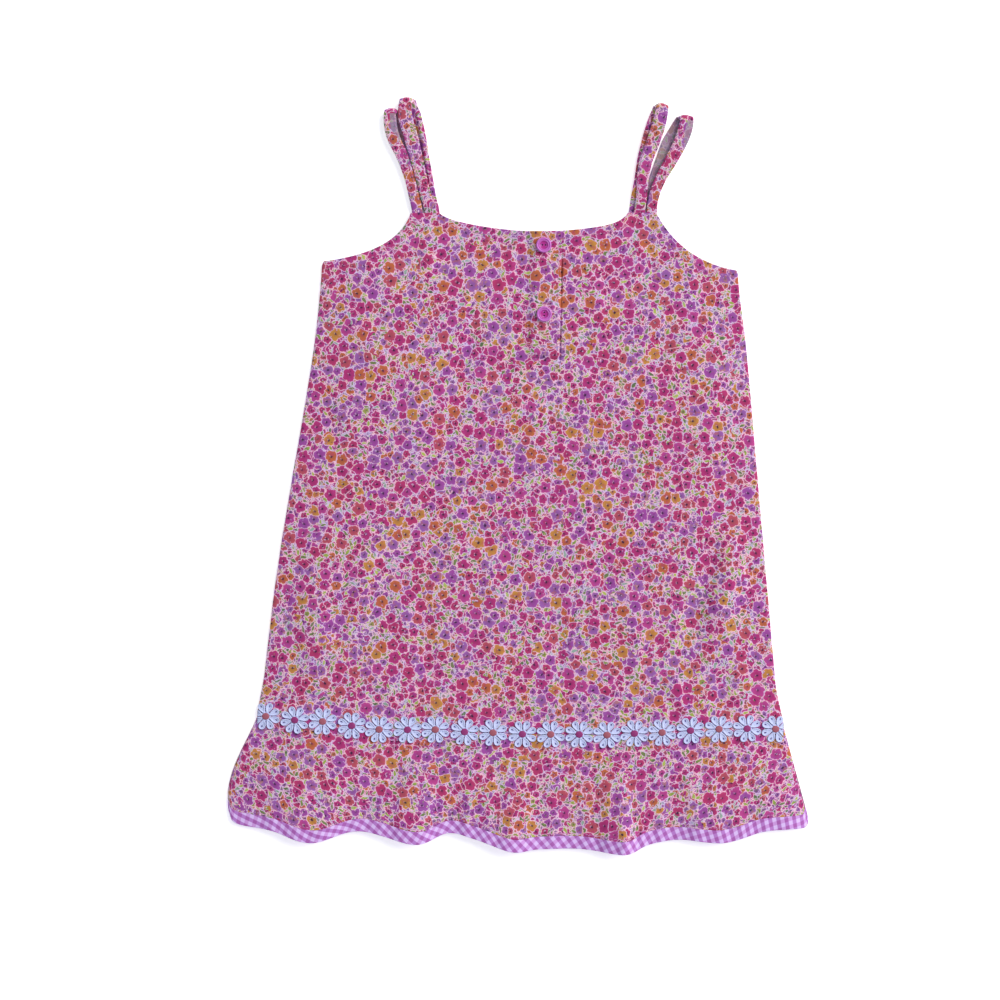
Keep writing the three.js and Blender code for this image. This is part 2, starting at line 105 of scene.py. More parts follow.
print("half-way through 0, 1, 4:", float(through_points([0, 1, 4], np.array(1.5))))

# %% [markdown]
# ## The body's outline
# The front and the back share one outline: two side seams that flare towards the hem, a shallow
# scoop between the straps, and two armholes. A quadratic curve is what a cutter draws with a
# curved ruler, so each armhole is one such curve from the strap corner to the side corner.

# %% Sizes of the body's outline
CHEST_HALF = 140.0  # half the width between the armholes
CHEST_Y = 138.0  # top of the side seams
TRIM_HALF = 177.2  # half the width at the flounce seam
TRIM_Y = -165.8  # flounce seam at the side seams
SEAM_Y = -173.3  # flounce seam at the centre front

# Height, left side seam, right side seam
SIDES = [
    (TRIM_Y, -TRIM_HALF, TRIM_HALF),
    (-140.0, -173.2, 171.6),
    (-110.0, -170.2, 168.0),
    (-60.0, -164.8, 162.6),
    (0.0, -156.4, 156.2),
    (46.0, -149.4, 151.2),
    (92.0, -143.4, 146.0),
    (CHEST_Y, -140.2, 139.8),
]
LEFT, RIGHT = 1, 2

NECK_MIDDLE = 1.5
NECK_Y = 164.4
NECK_HALF = 63.5
NECK_SCOOP = 8.4
NECK_TURN_UP = {LEFT: 2.4, RIGHT: 5.4}
NECK_TURN_POWER = 14
NECK_TURN_END = 1.2  # the turn-up grows no more past this share of the neck's half
NECK_LEFT = NECK_MIDDLE - NECK_HALF
NECK_RIGHT = NECK_MIDDLE + NECK_HALF

# Strap corner, middle handle, side corner
ARMHOLE_LEFT = [(-81.0, 174.8), (-89.5, 148.0), (-139.0, 141.2)]
ARMHOLE_RIGHT = [(84.0, 178.4), (101.5, 146.4), (139.0, 141.0)]
CORNER_LEFT = ARMHOLE_LEFT[0][0]
CORNER_RIGHT = ARMHOLE_RIGHT[0][0]

print("chest", 2 * CHEST_HALF, "mm wide, flounce seam", 2 * TRIM_HALF, "mm wide")


# %% The body's edges
def side_x(side, y):
    """A side seam's place at any height."""
    return through_rows(SIDES, side, np.minimum(y, CHEST_Y))


def from_side_seam(x, y):
    """Distance from the nearer side seam."""
    return np.minimum(x - side_x(LEFT, y), side_x(RIGHT, y) - x)


def body_x(share, y):
    """share is -1 at the left side seam and 1 at the right one."""
    return np.abs(share) * np.where(share < 0, side_x(LEFT, y), side_x(RIGHT, y))


def seam_y(x):
    """Height of the flounce seam, which hangs lowest at the centre."""
    return SEAM_Y + (TRIM_Y - SEAM_Y) * (x / TRIM_HALF) ** 2


def neck_y(x):
    """Height of the neckline: a shallow scoop that turns up at the strap corners."""
    out = np.abs(x - NECK_MIDDLE) / NECK_HALF
    turn_up = np.where(x < NECK_MIDDLE, NECK_TURN_UP[LEFT], NECK_TURN_UP[RIGHT])
    turned = turn_up * np.minimum(out, NECK_TURN_END) ** NECK_TURN_POWER
    return NECK_Y + NECK_SCOOP * out**2 + turned


def armhole_y(points, x):
    """Height of a quadratic curve through an armhole's three points."""
    (x0, y0), (x1, y1), (x2, y2) = points
    a = x0 - 2 * x1 + x2
    b = 2 * (x1 - x0)
    c = x0 - x
    root = np.sqrt(np.maximum(0.0, b * b - 4 * a * c))
    t = 2 * c / (-b - np.sign(b) * root)
    return (1 - t) ** 2 * y0 + 2 * t * (1 - t) * y1 + t * t * y2


def top_y(x):
    """Upper edge of the body at x: side corners, armholes, strap bases and neckline."""
    x = np.asarray(x, float)
    (left_in, left_top), _, (left_out, left_low) = ARMHOLE_LEFT
    (right_in, right_top), _, (right_out, right_low) = ARMHOLE_RIGHT
    left_base = (x - left_in) / (NECK_LEFT - left_in)
    right_base = (right_in - x) / (right_in - NECK_RIGHT)
    left_neck = neck_y(np.array(NECK_LEFT))
    right_neck = neck_y(np.array(NECK_RIGHT))
    places = [x < left_out, x > right_out, x < left_in, x > right_in, x < NECK_LEFT, x > NECK_RIGHT]
    heights = [
        between(left_low, CHEST_Y, left_out - x),
        between(right_low, CHEST_Y, x - right_out),
        armhole_y(ARMHOLE_LEFT, x),
        armhole_y(ARMHOLE_RIGHT, x),
        between(left_top, left_neck, left_base),
        between(right_top, right_neck, right_base),
    ]
    return np.select(places, heights, neck_y(x))


def top_slope(x):
    """Slope of the upper edge, taken over one millimetre."""
    return top_y(x + 0.5) - top_y(x - 0.5)


def from_top(x, y):
    """Distance in from the neckline and the armholes."""
    return (top_y(x) - y) / np.sqrt(1 + top_slope(x) ** 2)


print("neckline at the centre:", float(top_y(0.0)), "strap corner:", float(top_y(CORNER_LEFT)))

# %% [markdown]
# ## How the cloth lies
# The front rests a little above the back, because two layers of cotton hold some air. Long soft
# folds come first: they are the ones that the eye reads from across a room, and the solids have
# them too. The finer creases are listed one by one, uneven in length, depth and spacing, because
# evenly spaced noise looks like crumpled paper and not like worn cotton.

# %% Folds and creases
SOLID_WALL = 1.3  # wall of the plain solids
CLOTH = 0.8  # the cloth that is seen, with its turned edges
FRONT_REST = 1.6  # underside of the front's solid where it lies on the back
AIR = 2.2  # how far the front stands off the back inside the body
AIR_EDGE = 34.0  # distance from a side seam over which that air builds up
AIR_AT_NECK = 0.35  # share of the air that is left at the neckline
FOLD_SHARE = 0.92  # the worn cotton lies a little flatter than its solids
CREASE_SHARE = 1.8  # the fine creases are deeper than their table says
FOLD_END = 0.3  # share of a fold's length over which each end fades

# From (x, y), to (x, y), height of a ridge or, below 0, a trough, and half its width
LARGE_FOLDS = [
    (146, 22, 128, -38, -1.7, 13),
    (130, -30, 109, -118, -2.0, 14),
    (150, -18, 127, -118, 3.0, 17),
    (166, -82, 153, -150, -1.5, 11),
    (-148, -52, -132, -140, 1.6, 20),
    (-60, 96, -84, -20, 1.1, 24),
    (52, 60, 40, -60, 0.9, 26),
]
FINE_CREASES = [
    (-122, 122, -98, 60, 0.50, 9),
    (-128, 134, -112, 96, -0.45, 6),
    (-74, 168, -64, 126, 0.45, 6),
    (-34, 132, -46, 44, -0.45, 8),
    (-10, 158, -22, 112, 0.30, 6),
    (24, 84, 54, 66, -0.45, 6),
    (-4, 80, -34, 62, -0.35, 7),
    (38, 146, 52, 92, 0.40, 8),
    (76, 170, 68, 124, 0.45, 6),
    (98, 128, 84, 62, -0.50, 10),
    (124, 136, 108, 98, -0.45, 6),
    (134, 96, 128, 40, 0.45, 7),
    (-136, 62, -122, -30, -0.60, 9),
    (-100, -36, -118, -128, 0.60, 10),
    (-72, -66, -60, -152, -0.55, 10),
    (-40, -8, -52, -70, 0.40, 9),
    (-24, -44, -16, -144, 0.45, 11),
    (4, 58, 8, -22, 0.40, 12),
    (16, -62, 30, -152, -0.50, 10),
    (58, -14, 50, -88, -0.40, 9),
    (70, -52, 80, -148, 0.55, 11),
    (90, 22, 76, -42, -0.45, 10),
    (-158, -92, -150, -152, -0.50, 7),
    (100, -126, 112, -164, 0.60, 8),
    (139, -120, 134, -162, -0.70, 8),
    (-92, -140, -84, -168, 0.45, 7),
]
# Creases that run down the flounce and out over its hem
FLOUNCE_CREASES = [
    (-160, -182, -172, -290, 0.9, 8),
    (-130, -184, -148, -290, -0.9, 9),
    (-104, -182, -114, -290, 0.8, 7),
    (-82, -186, -89, -290, -0.9, 7),
    (-54, -184, -59, -290, -1.0, 7),
    (-34, -184, -36, -290, 0.9, 6),
    (-14, -186, -15, -290, -0.8, 7),
    (22, -184, 25, -290, 0.9, 8),
    (50, -182, 55, -290, -1.1, 8),
    (67, -184, 73, -290, 1.0, 4.6),
    (75, -188, 83, -290, -1.3, 5.0),
    (91, -184, 101, -290, 0.9, 7),
    (113, -184, 127, -290, 0.9, 8),
    (135, -184, 151, -290, -0.9, 8),
    (158, -182, 176, -290, 0.8, 7),
]


def folds_at(rows, x, y):
    """Sum of the heights of soft folds at x and y."""
    total = 0.0
    for x0, y0, x1, y1, high, half in rows:
        dx, dy = x1 - x0, y1 - y0
        length = math.hypot(dx, dy)
        share = ((x - x0) * dx + (y - y0) * dy) / length**2
        away = np.abs((x - x0) * dy - (y - y0) * dx) / length
        ends = smooth(share, 0, FOLD_END) * smooth(1 - share, 0, FOLD_END)
        total = total + high * ends * (1 - smooth(away, 0, half))
    return total


print("folds:", len(LARGE_FOLDS), "large,", len(FINE_CREASES) + len(FLOUNCE_CREASES), "fine")


# %% The front layer's height
def front_height(x, y, from_side):
    """Height of the front layer's upper face, from_side being the distance from the side seam."""
    side = smooth(from_side, 0, AIR_EDGE)
    neck = between(1, AIR_AT_NECK, smooth(y, CHEST_Y - AIR_EDGE, NECK_Y))
    fine = folds_at(FINE_CREASES, x, y) * CREASE_SHARE + folds_at(FLOUNCE_CREASES, x, y)
    air = AIR * neck + folds_at(LARGE_FOLDS, x, y) * FOLD_SHARE + fine
    return FRONT_REST + SOLID_WALL + np.maximum(0.0, air * side)


# The side seam: front and back bend round to meet each other over their last few millimetres
SIDE_BEND = 3.6
SIDE_SEAM_TOP = 1.5 + CLOTH / 2  # upper face of the cloth at that seam


def bend_to_seam(height, from_edge):
    """Brings a height down or up to the side seam in a quarter circle."""
    part = np.clip(from_edge / SIDE_BEND, 0, 1)
    return between(SIDE_SEAM_TOP, height, np.sqrt(1 - (1 - part) ** 2))


print("the front's upper face between folds is up to", FRONT_REST + SOLID_WALL + AIR, "mm high")

# %% Turned edges and the placket's groove
# Neckline and armholes are turned in and stitched: two more layers, and a line of stitches
TURN_HIGH = 0.32
TURN_FROM, TURN_TO = 5.5, 6.6  # the turning ends in a soft step between these distances
STITCH_IN = 5.0
STITCH_SINK = 0.16
STITCH_HALF = 0.55  # half the width of the furrow that the stitches press in


def turned_edge(inward):
    """Extra height of a turned and stitched edge at a distance inward from it."""
    ridge = TURN_HIGH * (1 - smooth(inward, TURN_FROM, TURN_TO))
    return ridge - STITCH_SINK * np.exp(-(((inward - STITCH_IN) / STITCH_HALF) ** 2))


# Beside the placket's fold the front is pressed down: place, half width and depths of that groove
PLACKET_RIGHT = 20.6
GROOVE_AWAY = 0.5
GROOVE_HALF = 0.55
GROOVE_START = (76, 80)
# Height on the dress, depth of the groove there
GROOVE_DEPTHS = [
    (79, 1.5), (96, 1.5), (104, 0.8), (124, 0.8), (131, 1.5), (142, 1.5), (148, 0.3), (170, 0.2),
]


def placket_groove(x, y):
    """Depth of the groove at any place."""
    across = np.exp(-(((x - PLACKET_RIGHT - GROOVE_AWAY) / GROOVE_HALF) ** 2))
    along = np.clip(y, GROOVE_DEPTHS[0][0], GROOVE_DEPTHS[-1][0])
    return across * through_rows(GROOVE_DEPTHS, 1, along) * smooth(y, *GROOVE_START)


def panel_top(x, y):
    """Upper face of the front panel at any place."""
    side = from_side_seam(x, y)
    height = front_height(x, y, side) + turned_edge(from_top(x, y)) - placket_groove(x, y)
    return bend_to_seam(height, side)


print("front at the centre lies", round(float(panel_top(0.0, 0.0)), 2), "mm high")

# %% [markdown]
# ## From a grid of points to a piece of cloth
# A piece of cloth is a grid of points with a little thickness. The upper and the lower face share
# their border points, and the last steps before the border follow a quarter circle, so every
# edge is softly rounded like a turned hem and the mesh is closed without a separate rim. Each
# piece also gets a flat map in metres: the place of every point on the cut cloth. The print, the
# checks and the weave follow that map, so they bend with the folds.

# %% Steps along a piece of cloth
ROUND_STEPS = 4
QUARTER = np.linspace(0, math.pi / 2, ROUND_STEPS + 1)
SEAM_STEPS = np.array([0.8, 1.4, 2.2, 3.2, 4.4])  # more steps where cloth bends to a seam


def edge_steps(thick, long):
    """Distances from a border at which a piece of some length needs points."""
    seam = SEAM_STEPS[SEAM_STEPS < long / 4]
    return np.concatenate([(1 - np.cos(QUARTER)) * thick / 2, seam])


def cloth_stops(stops, step, thick=CLOTH):
    """Places along a piece, in steps no longer than step, and closer near both borders."""
    edge = edge_steps(thick, stops[-1] - stops[0])
    low = stops[0] + edge
    high = stops[-1] - edge[::-1]
    inner = [low[-1], *[s for s in stops[1:-1] if low[-1] < s < high[0]], high[0]]
    middle = [
        np.linspace(a, b, math.ceil((b - a) / step) + 1)[1:] for a, b in zip(inner, inner[1:])
    ]
    return np.concatenate([low, np.concatenate(middle)[:-1], high])


def rounding(count):
    """Share of the thickness at each of count places: a quarter circle at both ends."""
    shares = np.ones(count)
    shares[: ROUND_STEPS + 1] = np.sin(QUARTER)
    shares[-ROUND_STEPS - 1 :] = np.sin(QUARTER)[::-1]
    return shares


print("rounded border steps:", np.round(edge_steps(CLOTH, 100.0), 2))


# %% A mesh with its flat map
def add_object(name, data):
    """A new object in the scene, at the origin."""
    made = bpy.data.objects.new(name, data)
    bpy.context.scene.collection.objects.link(made)
    return made


def make_object(name, points, faces, flat, finishes, kinds=None):
    """A smooth mesh object from millimetre points, with its flat map and its materials."""
    mesh = bpy.data.meshes.new(name)
    mesh.from_pydata((np.asarray(points) * MM).tolist(), [], faces)
    corners = np.zeros(len(mesh.loops), np.int32)
    mesh.loops.foreach_get("vertex_index", corners)
    uv = mesh.uv_layers.new(name="flat")
    uv.data.foreach_set("uv", (np.asarray(flat)[corners] * MM).astype(np.float32).ravel())
    for finish in finishes:
        mesh.materials.append(finish)
    if kinds is not None:
        mesh.polygons.foreach_set("material_index", np.asarray(kinds, np.int32))
    mesh.shade_smooth()
    mesh.update()
    return add_object(name, mesh)


def grid_faces(index, flip=False):
    """Quads of a grid of point numbers, facing up unless they are flipped."""
    a, b = index[:-1, :-1], index[1:, :-1]
    c, d = index[1:, 1:], index[:-1, 1:]
    quads = np.stack([a, d, c, b] if flip else [a, b, c, d], -1)
    return quads.reshape(-1, 4).tolist()


def cloth_piece(name, x, y, top, flat, finishes, thick=CLOTH):
    """Closed cloth with its upper face on a grid, right side up and wrong side down."""
    columns, rows = x.shape
    half = np.outer(rounding(columns), rounding(rows)) * thick / 2
    upper = np.stack([x, y, top - thick / 2 + half], -1).reshape(-1, 3)
    lower = np.stack([x, y, top - thick / 2 - half], -1)[1:-1, 1:-1].reshape(-1, 3)
    above = np.arange(columns * rows).reshape(columns, rows)
    below = above.copy()
    below[1:-1, 1:-1] = columns * rows + np.arange(len(lower)).reshape(columns - 2, rows - 2)
    faces = grid_faces(above) + grid_faces(below, flip=True)
    kinds = [0] * (len(faces) // 2) + [1] * (len(faces) // 2)
    maps = np.concatenate([flat.reshape(-1, 2), flat[1:-1, 1:-1].reshape(-1, 2)])
    return make_object(name, np.concatenate([upper, lower]), faces, maps, finishes, kinds)


print("faces of a grid of 3 by 3 points:", grid_faces(np.arange(9).reshape(3, 3)))


# %% Sizes along the cloth
def run_lengths(x, y, z, axis):
    """Length along the cloth from the first point of each line, along one way of the grid."""
    steps = np.sqrt(sum(np.diff(v, axis=axis) ** 2 for v in (x, y, z)))
    pad = [(0, 0), (0, 0)]
    pad[axis] = (1, 0)
    return np.pad(np.cumsum(steps, axis=axis), pad)


def laid_flat(x, y, z):
    """The flat map of a grid, measured along the cloth from its middle column and its top."""
    across = run_lengths(x, y, z, 0)
    down = run_lengths(x, y, z, 1)
    middle = len(x) // 2
    across = across - across[middle] + x[middle]
    return np.stack([across, down - down[:, -1:] + y[:, -1:].mean()], -1)


def flat_area(x, y):
    """Area of a flat grid in square metres."""
    across = x[1:, 1:] - x[:-1, :-1], y[1:, 1:] - y[:-1, :-1]
    back = x[:-1, 1:] - x[1:, :-1], y[:-1, 1:] - y[1:, :-1]
    return float(np.abs(across[0] * back[1] - across[1] * back[0]).sum()) / 2 * MM**2


print("a square of 10 by 10 mm has", flat_area(*np.mgrid[0:11, 0:11]), "square metres")

# %% [markdown]
# ## Shader maths that reads as maths
# A node tree for a print has over a hundred nodes, and wiring them by hand hides the idea. One
# small class wraps a socket, so that a sum of two values adds a Math node by itself, and every
# other kind of node comes from one method that takes its type, settings and socket values.

# %% A colour and a wire
def colour(code, strength=1.0):
    """A colour from its six-digit screen code, as the linear light that a shader needs."""
    parts = [int(code[i : i + 2], 16) / 255 for i in (0, 2, 4)]
    linear = [p / 12.92 if p <= 0.04045 else ((p + 0.055) / 1.055) ** 2.4 for p in parts]
    return (*[p * strength for p in linear], 1.0)


class Wire:
    """One output of a node. Maths on wires adds Math nodes."""

    def __init__(self, finish, socket):
        self.finish = finish
        self.socket = socket

    def math(self, operation, *values):
        inputs = dict(enumerate(values))
        return self.finish.node("ShaderNodeMath", {"operation": operation}, inputs)[0]

    def __add__(self, other):
        return self.math("ADD", self, other)

    __radd__ = __add__

    def __sub__(self, other):
        return self.math("SUBTRACT", self, other)

    def __rsub__(self, other):
        return self.math("SUBTRACT", other, self)

    def __mul__(self, other):
        return self.math("MULTIPLY", self, other)

    __rmul__ = __mul__

    def __truediv__(self, other):
        return self.math("DIVIDE", self, other)

    def __rtruediv__(self, other):
        return self.math("DIVIDE", other, self)

    def __pow__(self, other):
        return self.math("POWER", self, other)

    def __abs__(self):
        return self.math("ABSOLUTE", self)

    def __lt__(self, other):
        return self.math("LESS_THAN", self, other)

    def __gt__(self, other):
        return self.math("GREATER_THAN", self, other)


print("linear value of mid grey:", round(colour("808080")[0], 3))


# %% A material in the making
class Made:
    """A new node, whose outputs are read by name or number."""

    def __init__(self, finish, node):
        self.finish = finish
        self.node = node

    def __getitem__(self, output):
        return Wire(self.finish, self.node.outputs[output])


class Finish:
    """A material in the making."""

    def __init__(self, name):
        self.material = bpy.data.materials.new(name)
        self.material.use_nodes = True
        self.tree = self.material.node_tree
        self.tree.nodes.clear()

    def node(self, kind, settings=None, inputs=None):
        made = self.tree.nodes.new(kind)
        for key, value in (settings or {}).items():
            if key == "stops":
                self.set_stops(made.color_ramp, value)
            else:
                setattr(made, key, value)
        for key, value in (inputs or {}).items():
            if isinstance(value, Wire):
                self.tree.links.new(value.socket, made.inputs[key])
            else:
                made.inputs[key].default_value = value
        return Made(self, made)

    @staticmethod
    def set_stops(ramp, stops):
        """Steps of plain colour, each from its place on."""
        ramp.interpolation = "CONSTANT"
        while len(ramp.elements) < len(stops):
            ramp.elements.new(1.0)
        for element, (place, value) in zip(ramp.elements, stops):
            element.position = place
            element.color = value

    def flat_map(self):
        """The piece's own map, in metres on the cut cloth."""
        return self.node("ShaderNodeUVMap", {"uv_map": "flat"})["UV"]

    def own_place(self):
        """The place in the object's own space, in metres."""
        return self.node("ShaderNodeTexCoord")["Object"]

    def given(self, name):
        """A number that the piece's points carry."""
        return self.node("ShaderNodeAttribute", {"attribute_name": name})["Fac"]

    def parts(self, vector):
        """The three numbers of a vector."""
        made = self.node("ShaderNodeSeparateXYZ", None, {0: vector})
        return made[0], made[1], made[2]

    def vector(self, operation, *values):
        """A Vector Math node."""
        settings = {"operation": operation}
        return self.node("ShaderNodeVectorMath", settings, dict(enumerate(values)))

    def mix(self, share, low, high):
        """A colour between low and high."""
        settings = {"data_type": "RGBA", "clamp_factor": True}
        return self.node("ShaderNodeMix", settings, {0: share, 6: low, 7: high})[2]

    def inside(self, edge, soft):
        """1 where edge is below 0, fading out over a soft border."""
        limits = {"From Min": soft, "From Max": -soft, "Value": edge}
        return self.node("ShaderNodeMapRange", {"interpolation_type": "SMOOTHSTEP"}, limits)[0]

    def noise(self, vector, size, detail=2.0):
        """Soft noise from 0 to 1 whose lumps are about size metres wide."""
        inputs = {"Vector": vector, "Scale": 1 / size, "Detail": detail}
        return self.node("ShaderNodeTexNoise", None, inputs)["Fac"]

    def bump(self, height, depth, strength=1.0, under=None):
        """A normal from heights between 0 and 1, depth being the metres that 1 stands for."""
        inputs = {"Height": height, "Distance": depth, "Strength": strength}
        if under is not None:
            inputs["Normal"] = under
        return self.node("ShaderNodeBump", None, inputs)["Normal"]

    def shade(self, inputs):
        """Ends the material in one Principled shader and returns the material."""
        shader = self.node("ShaderNodeBsdfPrincipled", None, inputs)[0]
        self.node("ShaderNodeOutputMaterial", None, {"Surface": shader})
        return self.material


print("ways to add a node:", ", ".join(key for key in vars(Finish) if not key.startswith("_")))

# %% [markdown]
# ## The ditsy print
# The cotton is closely covered with tiny flowers: magenta, coral, orange and violet, each with a
# pale pink outline and a dark eye, over a lavender ground with small leaves and buds. A printer
# lays such a cloth down in layers, and so does this material. Each layer is one Voronoi texture,
# whose cells each hold one motif. The vector from the cell's own point gives a distance and an
# angle, from which a flower of round petals or a pointed leaf is drawn, and the cell's random
# numbers turn it, size it and choose its ink.
# The inks are listed in the order of their hue. A slow drift over the cloth carries the choice
# round them, so that flowers of one colour gather in loose clusters, as they do on the real one.

# %% Inks of the print
GROUND = colour("b69cd2")
GROUND_COOL = colour("b0bcbe")
OUTLINE = colour("ffcae0")
OUTLINE_COOL = colour("e8caf2")
EYE = colour("34103c")
GLINT = colour("e2bcd8")
FLOWER_INKS = [
    (0.0, "ca8a3e"), (0.07, "c4683c"), (0.16, "bc5060"), (0.25, "ba346c"), (0.36, "b62e76"),
    (0.55, "bc408c"), (0.69, "a248a0"), (0.86, "9e5eac"),
]
BUD_INKS = [
    (0.0, "98a048"), (0.12, "ba703c"), (0.18, "ac4c64"), (0.25, "ae3272"), (0.41, "aa3a86"),
    (0.6, "985ca6"), (0.77, "925e9c"),
]
LEAF_INKS = [
    (0.0, "6f7d4a"), (0.24, "98a84a"), (0.46, "5c6e4a"), (0.62, "b0ba56"), (0.76, "93aaa0"),
    (0.9, "7a7a5c"),
]
DOT_INKS = [
    (0.0, "8c9862"), (0.12, "74805a"), (0.28, "a4544a"), (0.38, "b0607c"), (0.5, "aa6aa4"),
    (0.66, "742c6e"), (0.86, "7e5e9c"),
]
SPECK_INKS = [(0.0, "d0b8dc"), (0.4, "4c1a4c"), (0.6, "7c8650"), (0.74, "d8b0d0"), (0.9, "a8485a")]

print("inks:", len(FLOWER_INKS), "for flowers,", len(LEAF_INKS), "for leaves")

# %% Layers of the print
# Motif, mean spacing and reach in mm, share of cells that hold one, inks, shift of the cells in m
PRINT_LAYERS = [
    ("dot", 1.6, 0.58, 0.93, DOT_INKS, 3.1),
    ("leaf", 2.9, 1.4, 0.94, LEAF_INKS, 7.7),
    ("bud", 2.8, 1.2, 0.88, BUD_INKS, 11.3),
    ("flower", 3.9, 2.05, 0.88, BUD_INKS, 1.9),
    ("leaf", 5.2, 2.1, 0.76, LEAF_INKS, 5.9),
    ("flower", 5.6, 2.9, 0.86, FLOWER_INKS, 13.7),
    ("leaf", 7.3, 2.3, 0.68, LEAF_INKS, 21.3),
    ("flower", 9.0, 4.2, 0.82, FLOWER_INKS, 17.1),
    ("dot", 3.1, 0.34, 0.45, SPECK_INKS, 23.9),
]
PETALS = 5
PETAL_OUT = 0.54  # where a petal's round lies, as a share of the flower's reach
PETAL_WIDE = 0.46
HEART = 0.6
PATCH_THIN = 0.3  # share of the flowers that a leafy patch goes without
LEAF_SLIM = 0.40
BUD_SLIM = 0.72
LEAST_SIZE, MORE_SIZE = 0.78, 0.34  # a motif's size, in its reach, is the first plus up to the other
OUTLINE_WIDE = 0.38  # mm
INK_BLUR = 0.26  # mm
WOBBLE_SIZE = 2.2  # mm, size and amount of the unevenness of every drawn line
WOBBLE = 2.1
SHIFT_SLANT = 0.37  # a layer's shift along the cloth, as a share of its shift across
CELL_UNEVEN = 0.8  # 0 would set the motifs in rows, and 1 wholly at random

print("layers of print:", len(PRINT_LAYERS), "the widest", max(row[1] for row in PRINT_LAYERS), "mm")


# %% One motif of the print
def print_cells(paint, place, spacing, shift):
    """Vector from each cell's own point, the cell's three random numbers, and its border."""
    moved = paint.vector("ADD", place, (shift, shift * SHIFT_SLANT, 0.0))[0]
    inputs = {"Vector": moved, "Scale": 1 / (spacing * MM), "Randomness": CELL_UNEVEN}
    flat = {"voronoi_dimensions": "2D"}
    cells = paint.node("ShaderNodeTexVoronoi", flat, inputs)
    border = paint.node("ShaderNodeTexVoronoi", {**flat, "feature": "DISTANCE_TO_EDGE"}, inputs)
    away = paint.vector("SUBTRACT", moved, cells["Position"])[0]
    chances = paint.node("ShaderNodeSeparateColor", None, {0: cells["Color"]})
    return away, [chances[i] for i in range(3)], border["Distance"] * (spacing * MM)


def motif_edge(paint, motif, away, reach, chances):
    """Distance in metres to a motif's edge, below 0 inside it, and distance from its middle."""
    x, y, _ = paint.parts(away)
    far = (x * x + y * y) ** 0.5
    turned = x.math("ARCTAN2", y, x) + chances[1] * (2 * math.pi)
    size = reach * MM * (LEAST_SIZE + MORE_SIZE * chances[0])
    if motif == "dot":
        return far - size, far
    if motif == "flower":
        half = math.pi / PETALS
        turned = x.math("WRAP", turned, half, -half)
        along = far * x.math("COSINE", turned) - size * PETAL_OUT
        across = far * x.math("SINE", turned)
        petal = (along * along + across * across) ** 0.5 - size * PETAL_WIDE
        return x.math("MINIMUM", petal, far - size * HEART), far
    along = far * x.math("COSINE", turned) / size
    across = far * x.math("SINE", turned) / size
    if motif == "leaf":
        return (abs(across) / LEAF_SLIM + along * along - 1.0) * size * LEAF_SLIM, far
    across = across / BUD_SLIM
    return ((along * along + across * across) ** 0.5 - 1.0) * size * BUD_SLIM, far


print("a flower has", PETALS, "petals, each", PETAL_WIDE, "of its reach in radius")

# %% Printing one layer
DRIFT_SIZE = 30.0  # mm, how slowly the inks change over the cloth, so that like flowers gather
DRIFT = 4.0  # how many times round the inks that change goes
OWN_PICK = 0.55  # share of the inks that a flower picks from at one place
SECOND_INK = 0.17  # how much further round the inks the second ink of a flower lies
TONE_SIZE = 2.8  # mm, size of the patches of that second ink
TONE_LEVEL, TONE_SOFT, TONE_MIX = 0.56, 0.05, 0.5
BORDER_GAP = 0.45  # a motif keeps clear of its cell's border, in outline widths
CHANCE_SPREAD = 7.13  # makes another chance from a cell's first one
HALO_MIX = 0.92
# Round the eye an ink is darker. Sizes are shares of the flower's reach
SHADE_OUT, SHADE_SOFT, SHADE_MIX = 0.5, 0.4, 0.28
EYE_OUT, EYE_MIX = 0.16, 0.95
GLINT_OUT, GLINT_MIX = 0.09, 0.5
GLINT_BACK = (0.2, -0.14)  # from the glint to the flower's middle


def print_layer(paint, ground, place, patches, halo, layer):
    """Prints one layer of motifs over the ground, with fewer flowers in the leafy patches."""
    motif, spacing, reach, share, ink_rows, shift = layer
    away, chances, border = print_cells(paint, place, spacing, shift)
    edge, far = motif_edge(paint, motif, away, reach, chances)
    outline = OUTLINE_WIDE * MM
    edge = edge.math("MAXIMUM", edge, outline * BORDER_GAP - border)
    fewer = patches * PATCH_THIN if motif == "flower" else 0.0
    there = chances[0].math("FRACT", chances[0] * CHANCE_SPREAD) + fewer < share
    home = paint.vector("SUBTRACT", place, away)[0]
    drift = paint.noise(home, DRIFT_SIZE * MM) * DRIFT
    pick = drift.math("FRACT", drift + chances[2] * OWN_PICK)
    stops = [(start, colour(code)) for start, code in ink_rows]
    ink, other = [
        paint.node("ShaderNodeValToRGB", {"stops": stops}, {0: chance})["Color"]
        for chance in (pick, pick.math("FRACT", pick + SECOND_INK))
    ]
    tone = paint.noise(place, TONE_SIZE * MM)
    ink = paint.mix(paint.inside(TONE_LEVEL - tone, TONE_SOFT) * TONE_MIX, ink, other)
    if motif != "dot":
        rim = paint.inside(edge - outline, outline / 2) * there
        ground = paint.mix(rim * HALO_MIX, ground, halo)
    if motif == "flower":
        shade = paint.inside(far - reach * SHADE_OUT * MM, reach * SHADE_SOFT * MM)
        ink = paint.mix(shade * SHADE_MIX, ink, EYE)
    printed = paint.mix(paint.inside(edge, INK_BLUR * MM) * there, ground, ink)
    if motif != "flower":
        return printed
    eye = paint.inside(far - reach * EYE_OUT * MM, INK_BLUR * MM) * there
    printed = paint.mix(eye * EYE_MIX, printed, EYE)
    back = [reach * part * MM for part in GLINT_BACK]
    beside = paint.vector("LENGTH", paint.vector("ADD", away, (*back, 0.0))[0])[1]
    glint = paint.inside(beside - reach * GLINT_OUT * MM, INK_BLUR * MM)
    return paint.mix(glint * there * GLINT_MIX, printed, GLINT)


print("like flowers gather over about", round(DRIFT_SIZE / DRIFT, 1), "mm")
